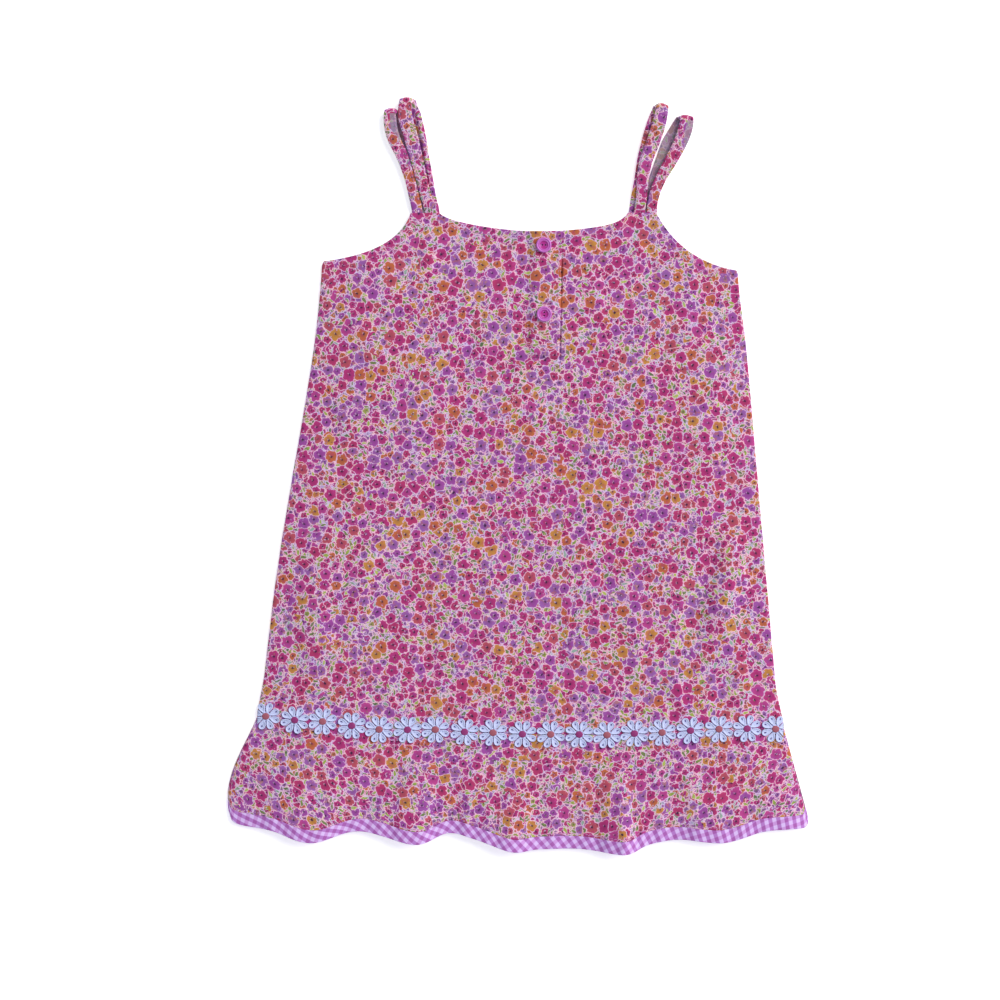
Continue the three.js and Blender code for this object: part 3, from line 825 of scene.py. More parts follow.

# %% [markdown]
# ## Cotton as a surface
# Cotton lawn is matt with a faint sheen at grazing angles. Its plain weave has about 25 threads
# to the centimetre, too fine to model, so it is a bump, over a softer bump of the small crumples
# that a washed dress keeps. The wrong side shows the same print, fading towards a greyed lavender
# because the ink does not go all the way through. It is then darkened further to a grey that is
# painted shade, as where the twisted straps lie in shade.

# %% Cotton as a surface
THREAD = 0.42 * MM  # from one thread to the next
WEAVE_DEPTH = 0.06 * MM
CRUMPLE_SIZE = 9.0 * MM
CRUMPLE_DEPTH = 0.55 * MM
CRUMPLE_SHOWN, WEAVE_SHOWN = 0.5, 0.35  # strengths of the two bumps
PATCH_SIZE, PATCH_LEVEL, PATCH_SOFT = 9.0 * MM, 0.53, 0.08  # of the leafy patches
COOL_SIZE, COOL_SOFT = 6.0 * MM, 0.1  # of the patches with a cooler outline
# The wrong side's grey: paler ink, darkened further as painted shade.
WRONG_SIDE_AND_SHADE_GREY = colour("968e9e")
WRONG_SIDE_AND_SHADE_SHARE = 0.66
COTTON = {"Roughness": 0.86, "Sheen Weight": 0.18, "Sheen Roughness": 0.45, "IOR": 1.45}


def weave_height(paint, place):
    """Height of a plain weave, from 0 to 1: threads pass over and under each other."""
    x, y, _ = paint.parts(place)
    across = x.math("SINE", x * (math.pi / THREAD))
    along = y.math("SINE", y * (math.pi / THREAD))
    return 0.5 + 0.5 * across * along


def cloth_normal(paint, place):
    """The weave over soft crumples."""
    crumple = paint.bump(paint.noise(place, CRUMPLE_SIZE), CRUMPLE_DEPTH, CRUMPLE_SHOWN)
    return paint.bump(weave_height(paint, place), WEAVE_DEPTH, WEAVE_SHOWN, crumple)


def printed_cotton(name, fade_and_shade):
    """The printed cotton, fading and darkened by painted shade from 0, the right side, to 1, all grey.
    """
    paint = Finish(name)
    place = paint.flat_map()
    patches = paint.inside(PATCH_LEVEL - paint.noise(place, PATCH_SIZE), PATCH_SOFT)
    shown = paint.mix(patches, GROUND, GROUND_COOL)
    cool = paint.inside(PATCH_LEVEL - paint.noise(place, COOL_SIZE), COOL_SOFT)
    halo = paint.mix(cool, OUTLINE, OUTLINE_COOL)
    uneven = {"Vector": place, "Scale": 1 / (WOBBLE_SIZE * MM), "Detail": 1.0}
    wobble = paint.node("ShaderNodeTexNoise", None, uneven)["Color"]
    drawn = paint.vector("MULTIPLY_ADD", wobble, (WOBBLE * MM, WOBBLE * MM, 0.0), place)[0]
    for layer in PRINT_LAYERS:
        shown = print_layer(paint, shown, drawn, patches, halo, layer)
    shown = paint.mix(fade_and_shade, shown, WRONG_SIDE_AND_SHADE_GREY)
    return paint.shade({"Base Color": shown, "Normal": cloth_normal(paint, place), **COTTON})


cotton = printed_cotton("printed_cotton_right_side", 0.0)
cotton_wrong_side_and_shade = printed_cotton("printed_cotton_wrong_side_and_shade", WRONG_SIDE_AND_SHADE_SHARE)
print("nodes in the print:", len(cotton.node_tree.nodes))

# %% [markdown]
# ## Gingham
# Gingham is woven and not printed: stripes of dyed thread cross stripes of white thread. Where
# dyed crosses dyed the square is full violet, where one of the two is dyed it is about half
# strength, the warp a little stronger than the weft, and where white crosses white it is palest.
# Two square waves on the flat map give exactly that.
# The flounce and its band are cut on a curve, as a flared hem has to be. The checks run straight
# across that cut, so on the sewn dress they turn steadily from one end of the hem to the other.

# %% Gingham
CHECK = 5.3 * MM  # from one dyed stripe to the next
CHECK_TURN = math.radians(47)  # at the middle of the hem
CHECK_FULL = colour("ac60b2")
CHECK_WARP = colour("bc7ece")
CHECK_WEFT = colour("d29ce2")
CHECK_PALE = colour("e2c4fa")
CHECK_SOFT = 0.3


def gingham(name):
    """Violet and white checks on the flat map."""
    paint = Finish(name)
    place = paint.flat_map()
    rotation = {"Vector": place, "Rotation": (0.0, 0.0, CHECK_TURN)}
    x, y, _ = paint.parts(paint.node("ShaderNodeMapping", None, rotation)[0])

    def stripe(along):
        wave = along.math("SINE", along * (2 * math.pi / CHECK))
        return paint.inside(wave, CHECK_SOFT)

    warp, weft = stripe(y), stripe(x)
    between_warp = paint.mix(weft, CHECK_PALE, CHECK_WEFT)
    on_warp = paint.mix(weft, CHECK_WARP, CHECK_FULL)
    shown = paint.mix(warp, between_warp, on_warp)
    return paint.shade({"Base Color": shown, "Normal": cloth_normal(paint, place), **COTTON})


checks = gingham("gingham_weave")
print("checks:", round(CHECK / MM, 1), "mm, nodes:", len(checks.node_tree.nodes))

# %% [markdown]
# ## Front and back of the body
# Both panels are grids between the flounce seam and the upper edge. The columns fan out with the
# side seams, so the edges are exact, and they are closer together at the strap corners, where
# the armhole drops steeply. The back lies flat on the table and only its sides rise to the seam.

# %% The front
PANEL_STEP = 2.2
PANEL_HIGH = 320.0  # about the height of the panel, to spread its rows
STEEP_STOPS = [5, 10, *(k * 0.9 for k in range(1, 12))]  # columns beside the strap corners
GROOVE_STOPS = [k * 0.35 for k in range(-5, 7)]  # columns across the placket's groove


def panel_grid(step, drop):
    """Points x and y of a body panel whose upper edge is lowered by drop."""
    stops = [CORNER_LEFT, NECK_LEFT, NECK_RIGHT, CORNER_RIGHT]
    stops += [CORNER_LEFT - away for away in STEEP_STOPS]
    stops += [CORNER_RIGHT + away for away in STEEP_STOPS]
    stops += [PLACKET_RIGHT + away for away in GROOVE_STOPS]
    columns = cloth_stops([-CHEST_HALF, *sorted(stops), CHEST_HALF], step)[:, None]
    rows = (cloth_stops([0.0, PANEL_HIGH], step) / PANEL_HIGH)[None, :]
    share = columns / CHEST_HALF
    y = between(seam_y(share * TRIM_HALF), top_y(columns) - drop, rows)
    return body_x(share, y), y


x, y = panel_grid(PANEL_STEP, 0.0)
flat = np.stack([x, y], -1)
front_panel = cloth_piece("front_panel_cloth", x, y, panel_top(x, y), flat, [cotton, cotton_wrong_side_and_shade])
front_area = flat_area(x, y)
print("front:", len(front_panel.data.polygons), "faces,", round(front_area, 4), "square metres")

# %% The back
BACK_DROP = 1.5  # how much lower the back's upper edge lies
BACK_STEP = 5.0
BACK_CUT = 400.0  # the back is cut from another place of the cloth, and seen from the other side

x, y = panel_grid(BACK_STEP, BACK_DROP)
back_area = flat_area(x, y)
top = bend_to_seam(np.full(x.shape, CLOTH), from_side_seam(x, y))
flat = np.stack([BACK_CUT - x, y], -1)
back_panel = cloth_piece("back_panel_cloth", x, y, top, flat, [cotton_wrong_side_and_shade, cotton])
print("back:", len(back_panel.data.polygons), "faces,", round(back_area, 4), "square metres")

# %% [markdown]
# ## The flounce and its hem band
# The flounce is cut wider at the hem than at the seam, and the spare width stands up in soft
# waves. The table has a row for each ridge and valley: where it starts at the seam, where it
# reaches the hem, and how high it is there. The gingham band continues the same surface for its
# last few millimetres, so both come from one function and meet exactly at their seam.

# %% The flounce's waves
# Start at the seam, end at the hem (x, y), height at the hem, bend in x
FLOUNCE = [
    (-177.2, -195.0, -229.6, 0.5, -5),
    (-171.5, -189.6, -237.8, 0.9, -5),
    (-146.0, -166.0, -241.8, 1.6, -4),
    (-116.0, -139.0, -249.2, 7.0, -2),
    (-96.0, -107.0, -241.0, 1.3, 0),
    (-63.0, -69.0, -248.6, 7.8, 0),
    (-43.0, -47.0, -241.0, 1.6, 0),
    (-27.0, -28.0, -244.8, 3.6, 0),
    (-5.0, -4.0, -252.2, 7.6, 0),
    (12.0, 14.0, -250.4, 2.8, 0),
    (38.0, 42.0, -249.6, 1.4, 0),
    (64.0, 72.0, -252.2, 8.4, 0),
    (78.0, 88.0, -245.6, 2.4, 0),
    (96.0, 108.0, -242.0, 1.2, 0),
    (124.0, 138.0, -243.2, 5.2, 0),
    (149.0, 164.0, -235.6, 1.4, 0),
    (165.0, 181.0, -233.6, 3.2, 0),
    (174.6, 192.8, -232.2, 1.0, 0),
    (177.2, 195.0, -228.0, 0.5, 0),
]
SEAM_X, HEM_X, HEM_Y, RISE, BOW = np.array(FLOUNCE, float).T
BOW_LOW = 1.5  # above 1, a bend lies nearer to the hem than to the seam
WAVE_START = 0.14  # share of the flounce's depth that the trim holds flat
BAND = 8.6  # depth of the gingham band
BACK_HEM_UP = 2.6  # how much shorter the back's hem lies
BACK_ARCH_FROM = 5.0  # the back's hem arches under waves higher than this
BACK_ARCH = 0.6
SEAM_GAP = 0.05

print("waves:", len(FLOUNCE), "ridges and valleys over", HEM_X[-1] - HEM_X[0], "mm of hem")

# %% Puckers below the flounce seam
# Puckers that the seam gathers into the flounce: place, length, height or, below 0, depth
PUCKERS = [
    (-168, 14, 0.30), (-151, 22, -0.45), (-139, 12, 0.35), (-124, 26, -0.40), (-107, 16, 0.40),
    (-88, 30, -0.50), (-79, 14, 0.30), (-66, 20, 0.40), (-52, 26, -0.55), (-38, 13, 0.35),
    (-21, 24, -0.45), (-11, 15, 0.35), (6, 20, -0.40), (21, 28, 0.35), (33, 14, -0.40),
    (47, 19, 0.40), (58, 30, -0.50), (71, 18, 0.50), (84, 26, -0.45), (103, 15, 0.35),
    (117, 22, -0.40), (131, 17, 0.40), (145, 25, -0.45), (158, 14, 0.30), (169, 18, -0.35),
]
PUCKER_HALF = 4.2
PUCKER_SHARE = 1.7  # they are deeper than their table says
PUCKER_FULL = (0.3, 0.4)  # shares of a pucker's length between which it has its full height


def puckers_at(x, below_seam):
    """Sum of the puckers' heights at x and a distance below the seam."""
    total = 0.0
    for place, length, high in PUCKERS:
        share = np.clip(below_seam / length, 0, 1)
        fade = smooth(share, 0, PUCKER_FULL[0]) * (1 - smooth(share, PUCKER_FULL[1], 1.0))
        total = total + PUCKER_SHARE * high * fade * (1 - smooth(np.abs(x - place), 0, PUCKER_HALF))
    return total


print("puckers:", len(PUCKERS))

# %% The flounce as a surface
FLARE_END = 0.5  # share of the depth by which the flounce has its hem's width
WAVE_END = 1.15  # the waves would be at their full height a little below the hem
PUCKER_FREE = 12  # width beside each side seam that has no puckers


def flounce_grid(column, down, hem_up):
    """Points of the flounce. column counts the rows of its table, down is 1 at the hem."""
    seam_x = through_points(SEAM_X, column)
    hem_x = through_points(HEM_X, column)
    hem_y = through_points(HEM_Y, column) + hem_up
    top = seam_y(seam_x) - SEAM_GAP
    bend = down**BOW_LOW
    x = between(seam_x, hem_x, down) + through_points(BOW, column) * 4 * bend * (1 - bend)
    y = between(top, hem_y, down)
    return x, y, seam_x, top - hem_y


def front_flounce_top(column, down):
    """x, y and the upper face of the front flounce."""
    x, y, seam_x, deep = flounce_grid(column, down, 0.0)
    flare = smooth(down, WAVE_START, FLARE_END)
    from_side = TRIM_HALF - between(np.abs(x), np.abs(seam_x), flare)
    rise = np.maximum(0.0, through_points(RISE, column))
    height = front_height(x, y, from_side) + rise * smooth(down, WAVE_START, WAVE_END)
    return x, y, height + puckers_at(x, down * deep) * smooth(from_side, 0, PUCKER_FREE)


def back_flounce_top(column, down):
    """x, y and the upper face of the back flounce."""
    x, y, _, _ = flounce_grid(column, down, BACK_HEM_UP)
    rise = through_points(RISE, column)
    arch = BACK_ARCH * np.maximum(0.0, rise - BACK_ARCH_FROM) * down**2
    return x, y, CLOTH + arch


middle = (len(FLOUNCE) - 1) / 2
print("the flounce is", round(float(flounce_grid(middle * np.ones(1), 0.0, 0.0)[3][0]), 1), "mm deep")

# %% The flounce and its band as cloth
CUT_RADIUS = 355.0  # of the curve on which the band is cut, its middle being above it
HEM_POINTS = 4000  # points of the table that turns a place on the hem into a column
counted = np.linspace(0, len(FLOUNCE) - 1, HEM_POINTS)
hem_line = through_points(HEM_X, counted)


def cut_on_curve(flat):
    """Bends a straight flat map round the curve on which a band is cut."""
    turn = flat[..., 0] / CUT_RADIUS
    out = CUT_RADIUS - (flat[..., 1] - flat[0, -1, 1])
    return np.stack([out * np.sin(turn), CUT_RADIUS - out * np.cos(turn)], -1)


def flounce_piece(node, top_of, is_band, hem_up, steps, finishes, cut_from):
    """The printed part of a flounce or its gingham band, with the grid of its upper face."""
    column_step, row_step = steps
    hem_places = cloth_stops([HEM_X[0], HEM_X[-1]], column_step)
    columns = np.interp(hem_places, hem_line, counted)[:, None]
    deep = flounce_grid(columns, 0.0, hem_up)[3]
    band_top = 1 - BAND / deep
    high = BAND if is_band else float(deep.mean()) - BAND
    rows = (cloth_stops([0.0, high], row_step) / high)[None, :]
    lower, upper = (1.0, band_top) if is_band else (band_top, 0.0)
    x, y, top = top_of(columns, between(lower, upper, rows))
    from_edge = np.minimum(np.abs(x - x[:1]), np.abs(x - x[-1:]))
    top = bend_to_seam(top, from_edge)
    flat = laid_flat(x, y, top) + (cut_from, 0.0)
    if is_band:
        flat = cut_on_curve(flat)
    return cloth_piece(node + "_cloth", x, y, top, flat, finishes), x, y, top


# Piece, its surface, whether it is the band, how much shorter it hangs, steps across and down,
# right and wrong side, and the place on the cloth from which it is cut
FLOUNCE_PIECES = [
    ("front_flounce", front_flounce_top, False, 0.0, (1.7, 2.0), [cotton, cotton_wrong_side_and_shade], 820.0),
    ("hem_band_front", front_flounce_top, True, 0.0, (1.5, 1.0), [checks, checks], 0.0),
    ("back_flounce", back_flounce_top, False, BACK_HEM_UP, (3.2, 4.0), [cotton_wrong_side_and_shade, cotton], 1300.0),
    ("hem_band_back", back_flounce_top, True, BACK_HEM_UP, (3.2, 1.5), [checks, checks], 0.0),
]
flounce = {}
for row in FLOUNCE_PIECES:
    flounce[row[0]] = flounce_piece(*row)
    print(row[0], "has", len(flounce[row[0]][0].data.polygons), "faces")

# %% [markdown]
# ## The placket
# The placket is a strip folded over on itself and stitched down to the right of the centre. Its
# left edge is joined into the front and hardly shows, while its right edge is a fold that stands
# up and throws a thin shadow. So the strip is a wedge: nothing at the left, full height under
# the buttons and at the fold. It keeps the front's flat map, so the flowers run on across it.

# %% The placket
PLACKET_LEFT = -2.2
PLACKET_LOW = 79.2
PLACKET_HIGH = 1.45  # how far its upper face stands above the front
PLACKET_EASE = 5.5  # width over which it rises from the left
PLACKET_THICK = 1.1
PLACKET_LEAST = 0.12  # how far its left edge stands above the front
PLACKET_LOW_SHARE = 0.45  # share of its rise at the lower end, which is stitched flat
PLACKET_LOW_EASE = 4.0
PLACKET_LONG = 86.0  # about its length, to spread its rows
PLACKET_STEPS = (1.2, 1.8)


def placket_top(x, y):
    """Upper face of the placket."""
    rise = smooth(x, PLACKET_LEFT, PLACKET_LEFT + PLACKET_EASE)
    from_low = smooth(y, PLACKET_LOW, PLACKET_LOW + PLACKET_LOW_EASE)
    share = rise * between(PLACKET_LOW_SHARE, 1.0, from_low)
    return panel_top(x, y) + between(PLACKET_LEAST, PLACKET_HIGH, share)


columns = cloth_stops([PLACKET_LEFT, PLACKET_RIGHT], PLACKET_STEPS[0], PLACKET_THICK)[:, None]
rows = cloth_stops([0.0, PLACKET_LONG], PLACKET_STEPS[1], PLACKET_THICK)[None, :] / PLACKET_LONG
x = columns + 0.0 * rows
y = between(PLACKET_LOW, top_y(columns), rows)
flat = np.stack([x, y], -1)
top = placket_top(x, y)
placket = cloth_piece("placket_cloth", x, y, top, flat, [cotton, cotton_wrong_side_and_shade], PLACKET_THICK)
print("placket:", len(placket.data.polygons), "faces, up to", round(float(top.max()), 1), "mm high")

# %% [markdown]
# ## Straps
# Each shoulder has two narrow straps. Each one runs up from behind the front's edge, folds over
# at the shoulder and runs down under itself to the back. The tables give, for a few heights, the
# middle of the front run, the middle of the back run and the width. A ring of points with soft
# edges is carried along that way, always square to it, which makes one closed strip.

# %% Where each strap lies
# Height, middle of the front run, middle of the back run, width
STRAPS = {
    "strap_left_outer": [
        (176.0, -76.9, -74.3, 7.2), (187.0, -79.5, -76.5, 7.0), (200.0, -83.1, -79.4, 6.9),
        (213.0, -87.9, -84.0, 7.9), (226.0, -94.2, -90.6, 8.6), (237.0, -96.4, -93.0, 8.6),
        (245.0, -96.4, -94.4, 7.6),
    ],
    "strap_left_inner": [
        (176.0, -68.1, -65.6, 7.5), (187.0, -71.5, -68.3, 7.5), (200.0, -75.0, -71.0, 7.9),
        (213.0, -78.6, -74.0, 8.8), (226.0, -82.2, -76.7, 9.4), (240.0, -86.4, -80.2, 9.4),
        (252.4, -86.4, -84.0, 8.0),
    ],
    "strap_right_inner": [
        (179.0, 72.6, 69.2, 7.3), (188.0, 73.5, 70.2, 7.4), (200.0, 74.0, 72.4, 8.0),
        (213.0, 76.0, 74.4, 8.8), (224.0, 80.0, 76.8, 9.0), (238.0, 84.2, 80.6, 9.2),
        (252.2, 86.6, 84.8, 8.0),
    ],
    "strap_right_outer": [
        (179.0, 80.7, 77.2, 7.1), (188.0, 81.6, 78.4, 7.0), (200.0, 85.6, 81.6, 7.3),
        (213.0, 92.4, 86.4, 8.4), (226.0, 98.8, 91.2, 9.2), (237.0, 102.3, 97.6, 9.6),
        (244.6, 103.0, 101.0, 8.4),
    ],
}
FRONT_RUN, BACK_RUN, WIDE = 1, 2, 3

for name, rows in STRAPS.items():
    print(name, "folds over at", rows[-1][0], "mm")

# %% The way along a strap
STRAP = 1.1  # thickness
STRAP_LIFT = 1.7  # how far the front run stands off the back run below the fold
STRAP_TUCK = 6.0  # length sewn in behind the edges
STRAP_EASE = 7.0  # length over which it comes up from there
STRAP_GAP = 0.1  # between the back panel and the end that is sewn on
RUN_STEPS = 80  # points along each run
FOLD_STEPS = 15  # points round the fold


def edge_above(x, wide):
    """Highest point of the body's upper edge under a strap's width."""
    return float(max(top_y(x + side * wide / 2) for side in (-1, 0, 1)))


def strap_way(rows):
    """Middle points of a strap, its direction out of the fold, its width and its length so far."""
    first, last = rows[0], rows[-1]
    front_start = edge_above(first[FRONT_RUN], first[WIDE])
    back_start = edge_above(first[BACK_RUN], first[WIDE]) - BACK_DROP
    edge_z = float(panel_top(first[FRONT_RUN], front_start - 1.0))
    base_z = edge_z - SOLID_WALL / 2
    top_z = base_z + STRAP_LIFT
    back_z = STRAP / 2
    radius = (top_z - back_z) / 2
    fold_y = last[0] - radius - STRAP / 2
    points, outs = [], []
    tucked = edge_z - CLOTH - TURN_HIGH - STRAP / 2
    for y in np.linspace(front_start - STRAP_TUCK, fold_y, RUN_STEPS):
        lift = base_z + STRAP_LIFT * smooth(y, front_start, fold_y)
        z = between(tucked, lift, smooth(y, front_start, front_start + STRAP_EASE))
        points.append((through_rows(rows, FRONT_RUN, y), y, z))
        outs.append((0.0, 0.0, 1.0))
    fold_x = [through_rows(rows, run, fold_y) for run in (FRONT_RUN, BACK_RUN)]
    for turn in np.linspace(math.pi / 2, -math.pi / 2, FOLD_STEPS)[1:-1]:
        x = between(*fold_x, 0.5 - turn / math.pi)
        z = (top_z + back_z) / 2 + radius * math.sin(turn)
        points.append((x, fold_y + radius * math.cos(turn), z))
        outs.append((0.0, math.cos(turn), math.sin(turn)))
    sewn_on = CLOTH + STRAP / 2 + STRAP_GAP
    for y in np.linspace(fold_y, back_start - STRAP_TUCK, RUN_STEPS):
        z = between(sewn_on, back_z, smooth(y, back_start, back_start + STRAP_EASE))
        points.append((through_rows(rows, BACK_RUN, y), y, z))
        outs.append((0.0, 0.0, -1.0))
    points = np.array(points, float)
    wide = through_rows(rows, WIDE, np.minimum(points[:, 1], last[0]))
    length = np.concatenate([[0], np.cumsum(np.linalg.norm(np.diff(points, axis=0), axis=1))])
    return points, np.array(outs), wide, length


print("points along a strap:", len(strap_way(STRAPS["strap_left_outer"])[0]))

# %% A ring that is carried along
RING_FLAT = np.linspace(-1, 1, 17)
RING_TURN = np.linspace(0, math.pi, 6)[1:-1]
STRAP_CROWN = 0.16  # the middle of a strap is a little thicker than its stitched edges

# A stretch where a strap is twisted and shows its wrong side: from and to as heights, the side
# of the strap, and the share of its width
TWISTS = {
    "strap_right_outer": (223.0, 240.5, 1, 0.45),
    "strap_left_outer": (221.0, 241.0, 1, 0.46),
}
TWIST_TAPER = 10.0  # length over which a twisted part narrows to nothing
PRINTED_BOTH_SIDES = ("strap_left_inner", "strap_right_inner")
# The edge of a back run that curls up beside the front run: its side and height
CURLS = {"strap_left_inner": (1, 2.6), "strap_right_inner": (-1, 1.7)}
CURL_WIDE = 4.6
CURL_LEVEL = 2.0  # the curled edge itself lies level, over this width
CURL_START, CURL_END = (0, 0.2), (0.72, 0.85)  # shares of the back run over which it comes and goes
FOLD_CORNER = 1.5  # how far the corners of a folded end are drawn back
ON_BACK = -0.99  # the back run's upper face looks down, at least by this
SIDE_LEVEL = -0.2  # the printed side reaches this share of the thickness down round an edge


def strap_ring():
    """Places on the ring as (share across, fixed across, out), in half widths and mm."""
    half = STRAP / 2
    top = [(s, 0.0, half) for s in RING_FLAT]
    right = [(1.0, half * math.sin(t), half * math.cos(t)) for t in RING_TURN]
    bottom = [(s, 0.0, -half) for s in RING_FLAT[::-1]]
    left = [(-1.0, -half * math.sin(t), -half * math.cos(t)) for t in RING_TURN]
    return np.array(top + right + bottom + left)


def strap_rings(name, ring, points, outs, across, wide):
    """Points of the rings along a strap, and how far each lies beside the strap's middle."""
    inner = (wide / 2 - STRAP / 2)[:, None]
    side = ring[:, 0] * inner + ring[:, 1]
    crown = STRAP_CROWN * (1 - ring[:, 0] ** 2) * np.sign(ring[:, 2])
    out = (ring[:, 2] + crown)[None, :, None]
    rings = points[:, None] + side[..., None] * across[:, None] + out * outs[:, None]
    rings[..., 1] -= FOLD_CORNER * np.abs(side / inner) ** 3 * np.maximum(outs[:, 1:2], 0)
    if name in CURLS:
        which, rise = CURLS[name]
        back = np.cumsum(outs[:, 2] < ON_BACK) / np.sum(outs[:, 2] < ON_BACK)
        along = smooth(back, *CURL_START) * (1 - smooth(back, *CURL_END))
        curl = smooth(side * which, inner - CURL_WIDE, inner - CURL_LEVEL)
        rings[..., 2] += rise * along[:, None] * curl
    rings[..., 2] = np.maximum(rings[..., 2], 0.0)
    return rings, side


def printed_faces(name, ring, heights):
    """Which faces of a strap show the printed side, heights being those of its rings."""
    bands = len(heights) - 1
    middle_out = np.convolve(np.append(ring[:, 2], ring[0, 2]), [0.5, 0.5], "valid")
    printed = np.tile(middle_out > SIDE_LEVEL * STRAP, bands)
    if name in PRINTED_BOTH_SIDES:
        printed[:] = True
    if name in TWISTS:
        low, high, which, share = TWISTS[name]
        heights = np.repeat(heights[:-1], len(ring))
        sides = np.tile(np.append(ring[1:, 0], ring[0, 0]), bands) * which
        share = share * smooth(heights, low, low + TWIST_TAPER)
        printed &= ~((heights > low) & (heights < high) & (sides > 1 - 2 * share))
    return printed


print("points of a ring:", len(strap_ring()))

# %% The strap as cloth
STRAP_CUT_APART = 60.0  # each strap is cut this much further along the cloth


def strap_piece(name, rows, number):
    """A strap, its middle points, the way across it at each of them, its width and its length."""
    points, outs, wide, length = strap_way(rows)
    across = np.cross(np.gradient(points, axis=0), outs)
    across /= np.linalg.norm(across, axis=1)[:, None]
    ring = strap_ring()
    rings, side = strap_rings(name, ring, points, outs, across, wide)
    index = np.arange(side.size).reshape(side.shape)
    ends = [index[0, ::-1].tolist(), index[-1].tolist()]
    faces = grid_faces(np.concatenate([index, index[:, :1]], 1)) + ends
    kinds = np.where(printed_faces(name, ring, points[:, 1]), 0, 1).tolist() + [0, 0]
    along = np.broadcast_to(length[:, None], side.shape)
    flat = np.stack([side + STRAP_CUT_APART * number, along], -1).reshape(-1, 2)
    finishes = [cotton, cotton_wrong_side_and_shade]
    piece = make_object(name + "_cloth", rings.reshape(-1, 3), faces, flat, finishes, kinds)
    return piece, points, across, wide, float(length[-1])


straps = {}
for number, (name, rows) in enumerate(STRAPS.items()):
    straps[name] = strap_piece(name, rows, number)
    print(name, round(straps[name][4]), "mm long")

# %% [markdown]
# ## Buttons
# Each button is a moulded disc with a rounded rim, a fine groove, and a sunk middle with two
# holes. A lathe profile turned round gives the disc, the holes are cut with a Boolean, and a
# short shank of thread holds the button on the placket. The colour follows the depth: the inner
# ring is a little deeper than the rim, and the sunk middle is magenta.

# %% Button plastic and thread
BUTTON_RIM = colour("c664c2")
BUTTON_RIM_PALE = colour("d47ed6")
BUTTON_SUNK = colour("b4268c")


def button_plastic(name):
    """Moulded plastic with a soft gloss, deeper in colour where the button is sunk."""
    paint = Finish(name)
    place = paint.own_place()
    rim = paint.mix(paint.noise(place, 3 * MM), BUTTON_RIM, BUTTON_RIM_PALE)
    shown = paint.mix(paint.given("sunk"), rim, BUTTON_SUNK)
    gloss = 0.26 + 0.12 * paint.noise(place, 1 * MM, 4.0)
    normal = paint.bump(paint.noise(place, 0.6 * MM, 3.0), 0.02 * MM, 0.3)
    inputs = {"Base Color": shown, "Roughness": gloss, "Normal": normal, "IOR": 1.5}
    return paint.shade({**inputs, "Subsurface Weight": 0.0, "Specular IOR Level": 0.45})


def thread(name, code, twist=0.5):
    """Sewing thread with its fine twist, in mm from one turn to the next, painted darker in the twist's
    grooves as shade.
    """
    paint = Finish(name)
    x, y, z = paint.parts(paint.own_place())
    ply = x.math("SINE", (x + y + z) * (2 * math.pi / (twist * MM)))
    # Painted shade: the colour is darker in the grooves of the twist, where the bump is low.
    shown = paint.mix(0.5 + 0.5 * ply, colour(code, 0.82), colour(code))
    normal = paint.bump(0.5 + 0.5 * ply, 0.08 * MM, 0.5)
    inputs = {"Base Color": shown, "Normal": normal, "Roughness": 0.7}
    return paint.shade({**inputs, "Sheen Weight": 0.3, "Sheen Roughness": 0.4})


plastic = button_plastic("button_plastic_moulded")
sewing_thread = thread("sewing_thread_pink", "d593c4")
button_thread = thread("button_thread_magenta", "c23a9c")
print("finishes:", plastic.name, sewing_thread.name, button_thread.name)

# %% A lathe
# Radius and height from the middle of the underside, round the edge, to the middle of the floor
BUTTON_PROFILE = [
    (0.0, 0.0), (3.6, 0.0), (4.2, 0.08), (4.65, 0.35), (4.93, 0.8), (5.0, 1.25), (4.95, 1.7),
    (4.75, 2.1), (4.5, 2.33), (4.25, 2.4), (4.0, 2.34), (3.85, 2.14), (3.7, 1.86), (3.5, 1.8),
    (3.3, 1.9), (3.05, 2.0), (2.8, 1.94), (2.62, 1.7), (2.48, 1.4), (2.2, 1.3), (0.0, 1.3),
]
BUTTON_SIDES = 72
THREAD_SIDES = 16


def lathe(profile, sides):
    """Points and faces of a profile turned round the Z axis, closed at both ends on the axis."""
    angles = np.linspace(0, 2 * math.pi, sides, endpoint=False)
    radius, height = np.array(profile[1:-1]).T
    around = np.outer(radius, np.cos(angles)), np.outer(radius, np.sin(angles))
    rings = np.stack([*around, np.repeat(height[:, None], sides, 1)], -1)
    index = np.arange(len(radius) * sides).reshape(-1, sides)
    index = np.concatenate([index, index[:, :1]], 1)
    low, high = len(radius) * sides, len(radius) * sides + 1
    faces = grid_faces(index, flip=True)
    faces += [[low, int(index[0, k + 1]), int(index[0, k])] for k in range(sides)]
    faces += [[high, int(index[-1, k]), int(index[-1, k + 1])] for k in range(sides)]
    ends = [(0.0, 0.0, profile[0][1]), (0.0, 0.0, profile[-1][1])]
    return np.concatenate([rings.reshape(-1, 3), ends]), faces


def plain_object(name, points, faces, finish):
    """An object of one finish, with its plan as its flat map."""
    return make_object(name, points, faces, np.asarray(points)[:, :2], [finish])


def gathered(shapes):
    """Several shapes, each with its points and faces, as the points and faces of one."""
    points, faces, start = [], [], 0
    for shape_points, shape_faces in shapes:
        points.append(shape_points)
        faces += [[start + k for k in face] for face in shape_faces]
        start += len(shape_points)
    return np.concatenate(points), faces


def as_plain_mesh(piece):
    """Turns a piece with modifiers into a piece with that shape and no modifiers."""
    bpy.context.view_layer.update()
    evaluated = piece.evaluated_get(bpy.context.evaluated_depsgraph_get())
    shape = bpy.data.meshes.new_from_object(evaluated)
    piece.modifiers.clear()
    piece.data = shape
    return piece


def give(piece, name, values):
    """Gives every point of a piece a number, which its material reads."""
    attribute = piece.data.attributes.new(name, "FLOAT", "POINT")
    attribute.data.foreach_set("value", np.asarray(values, np.float32))


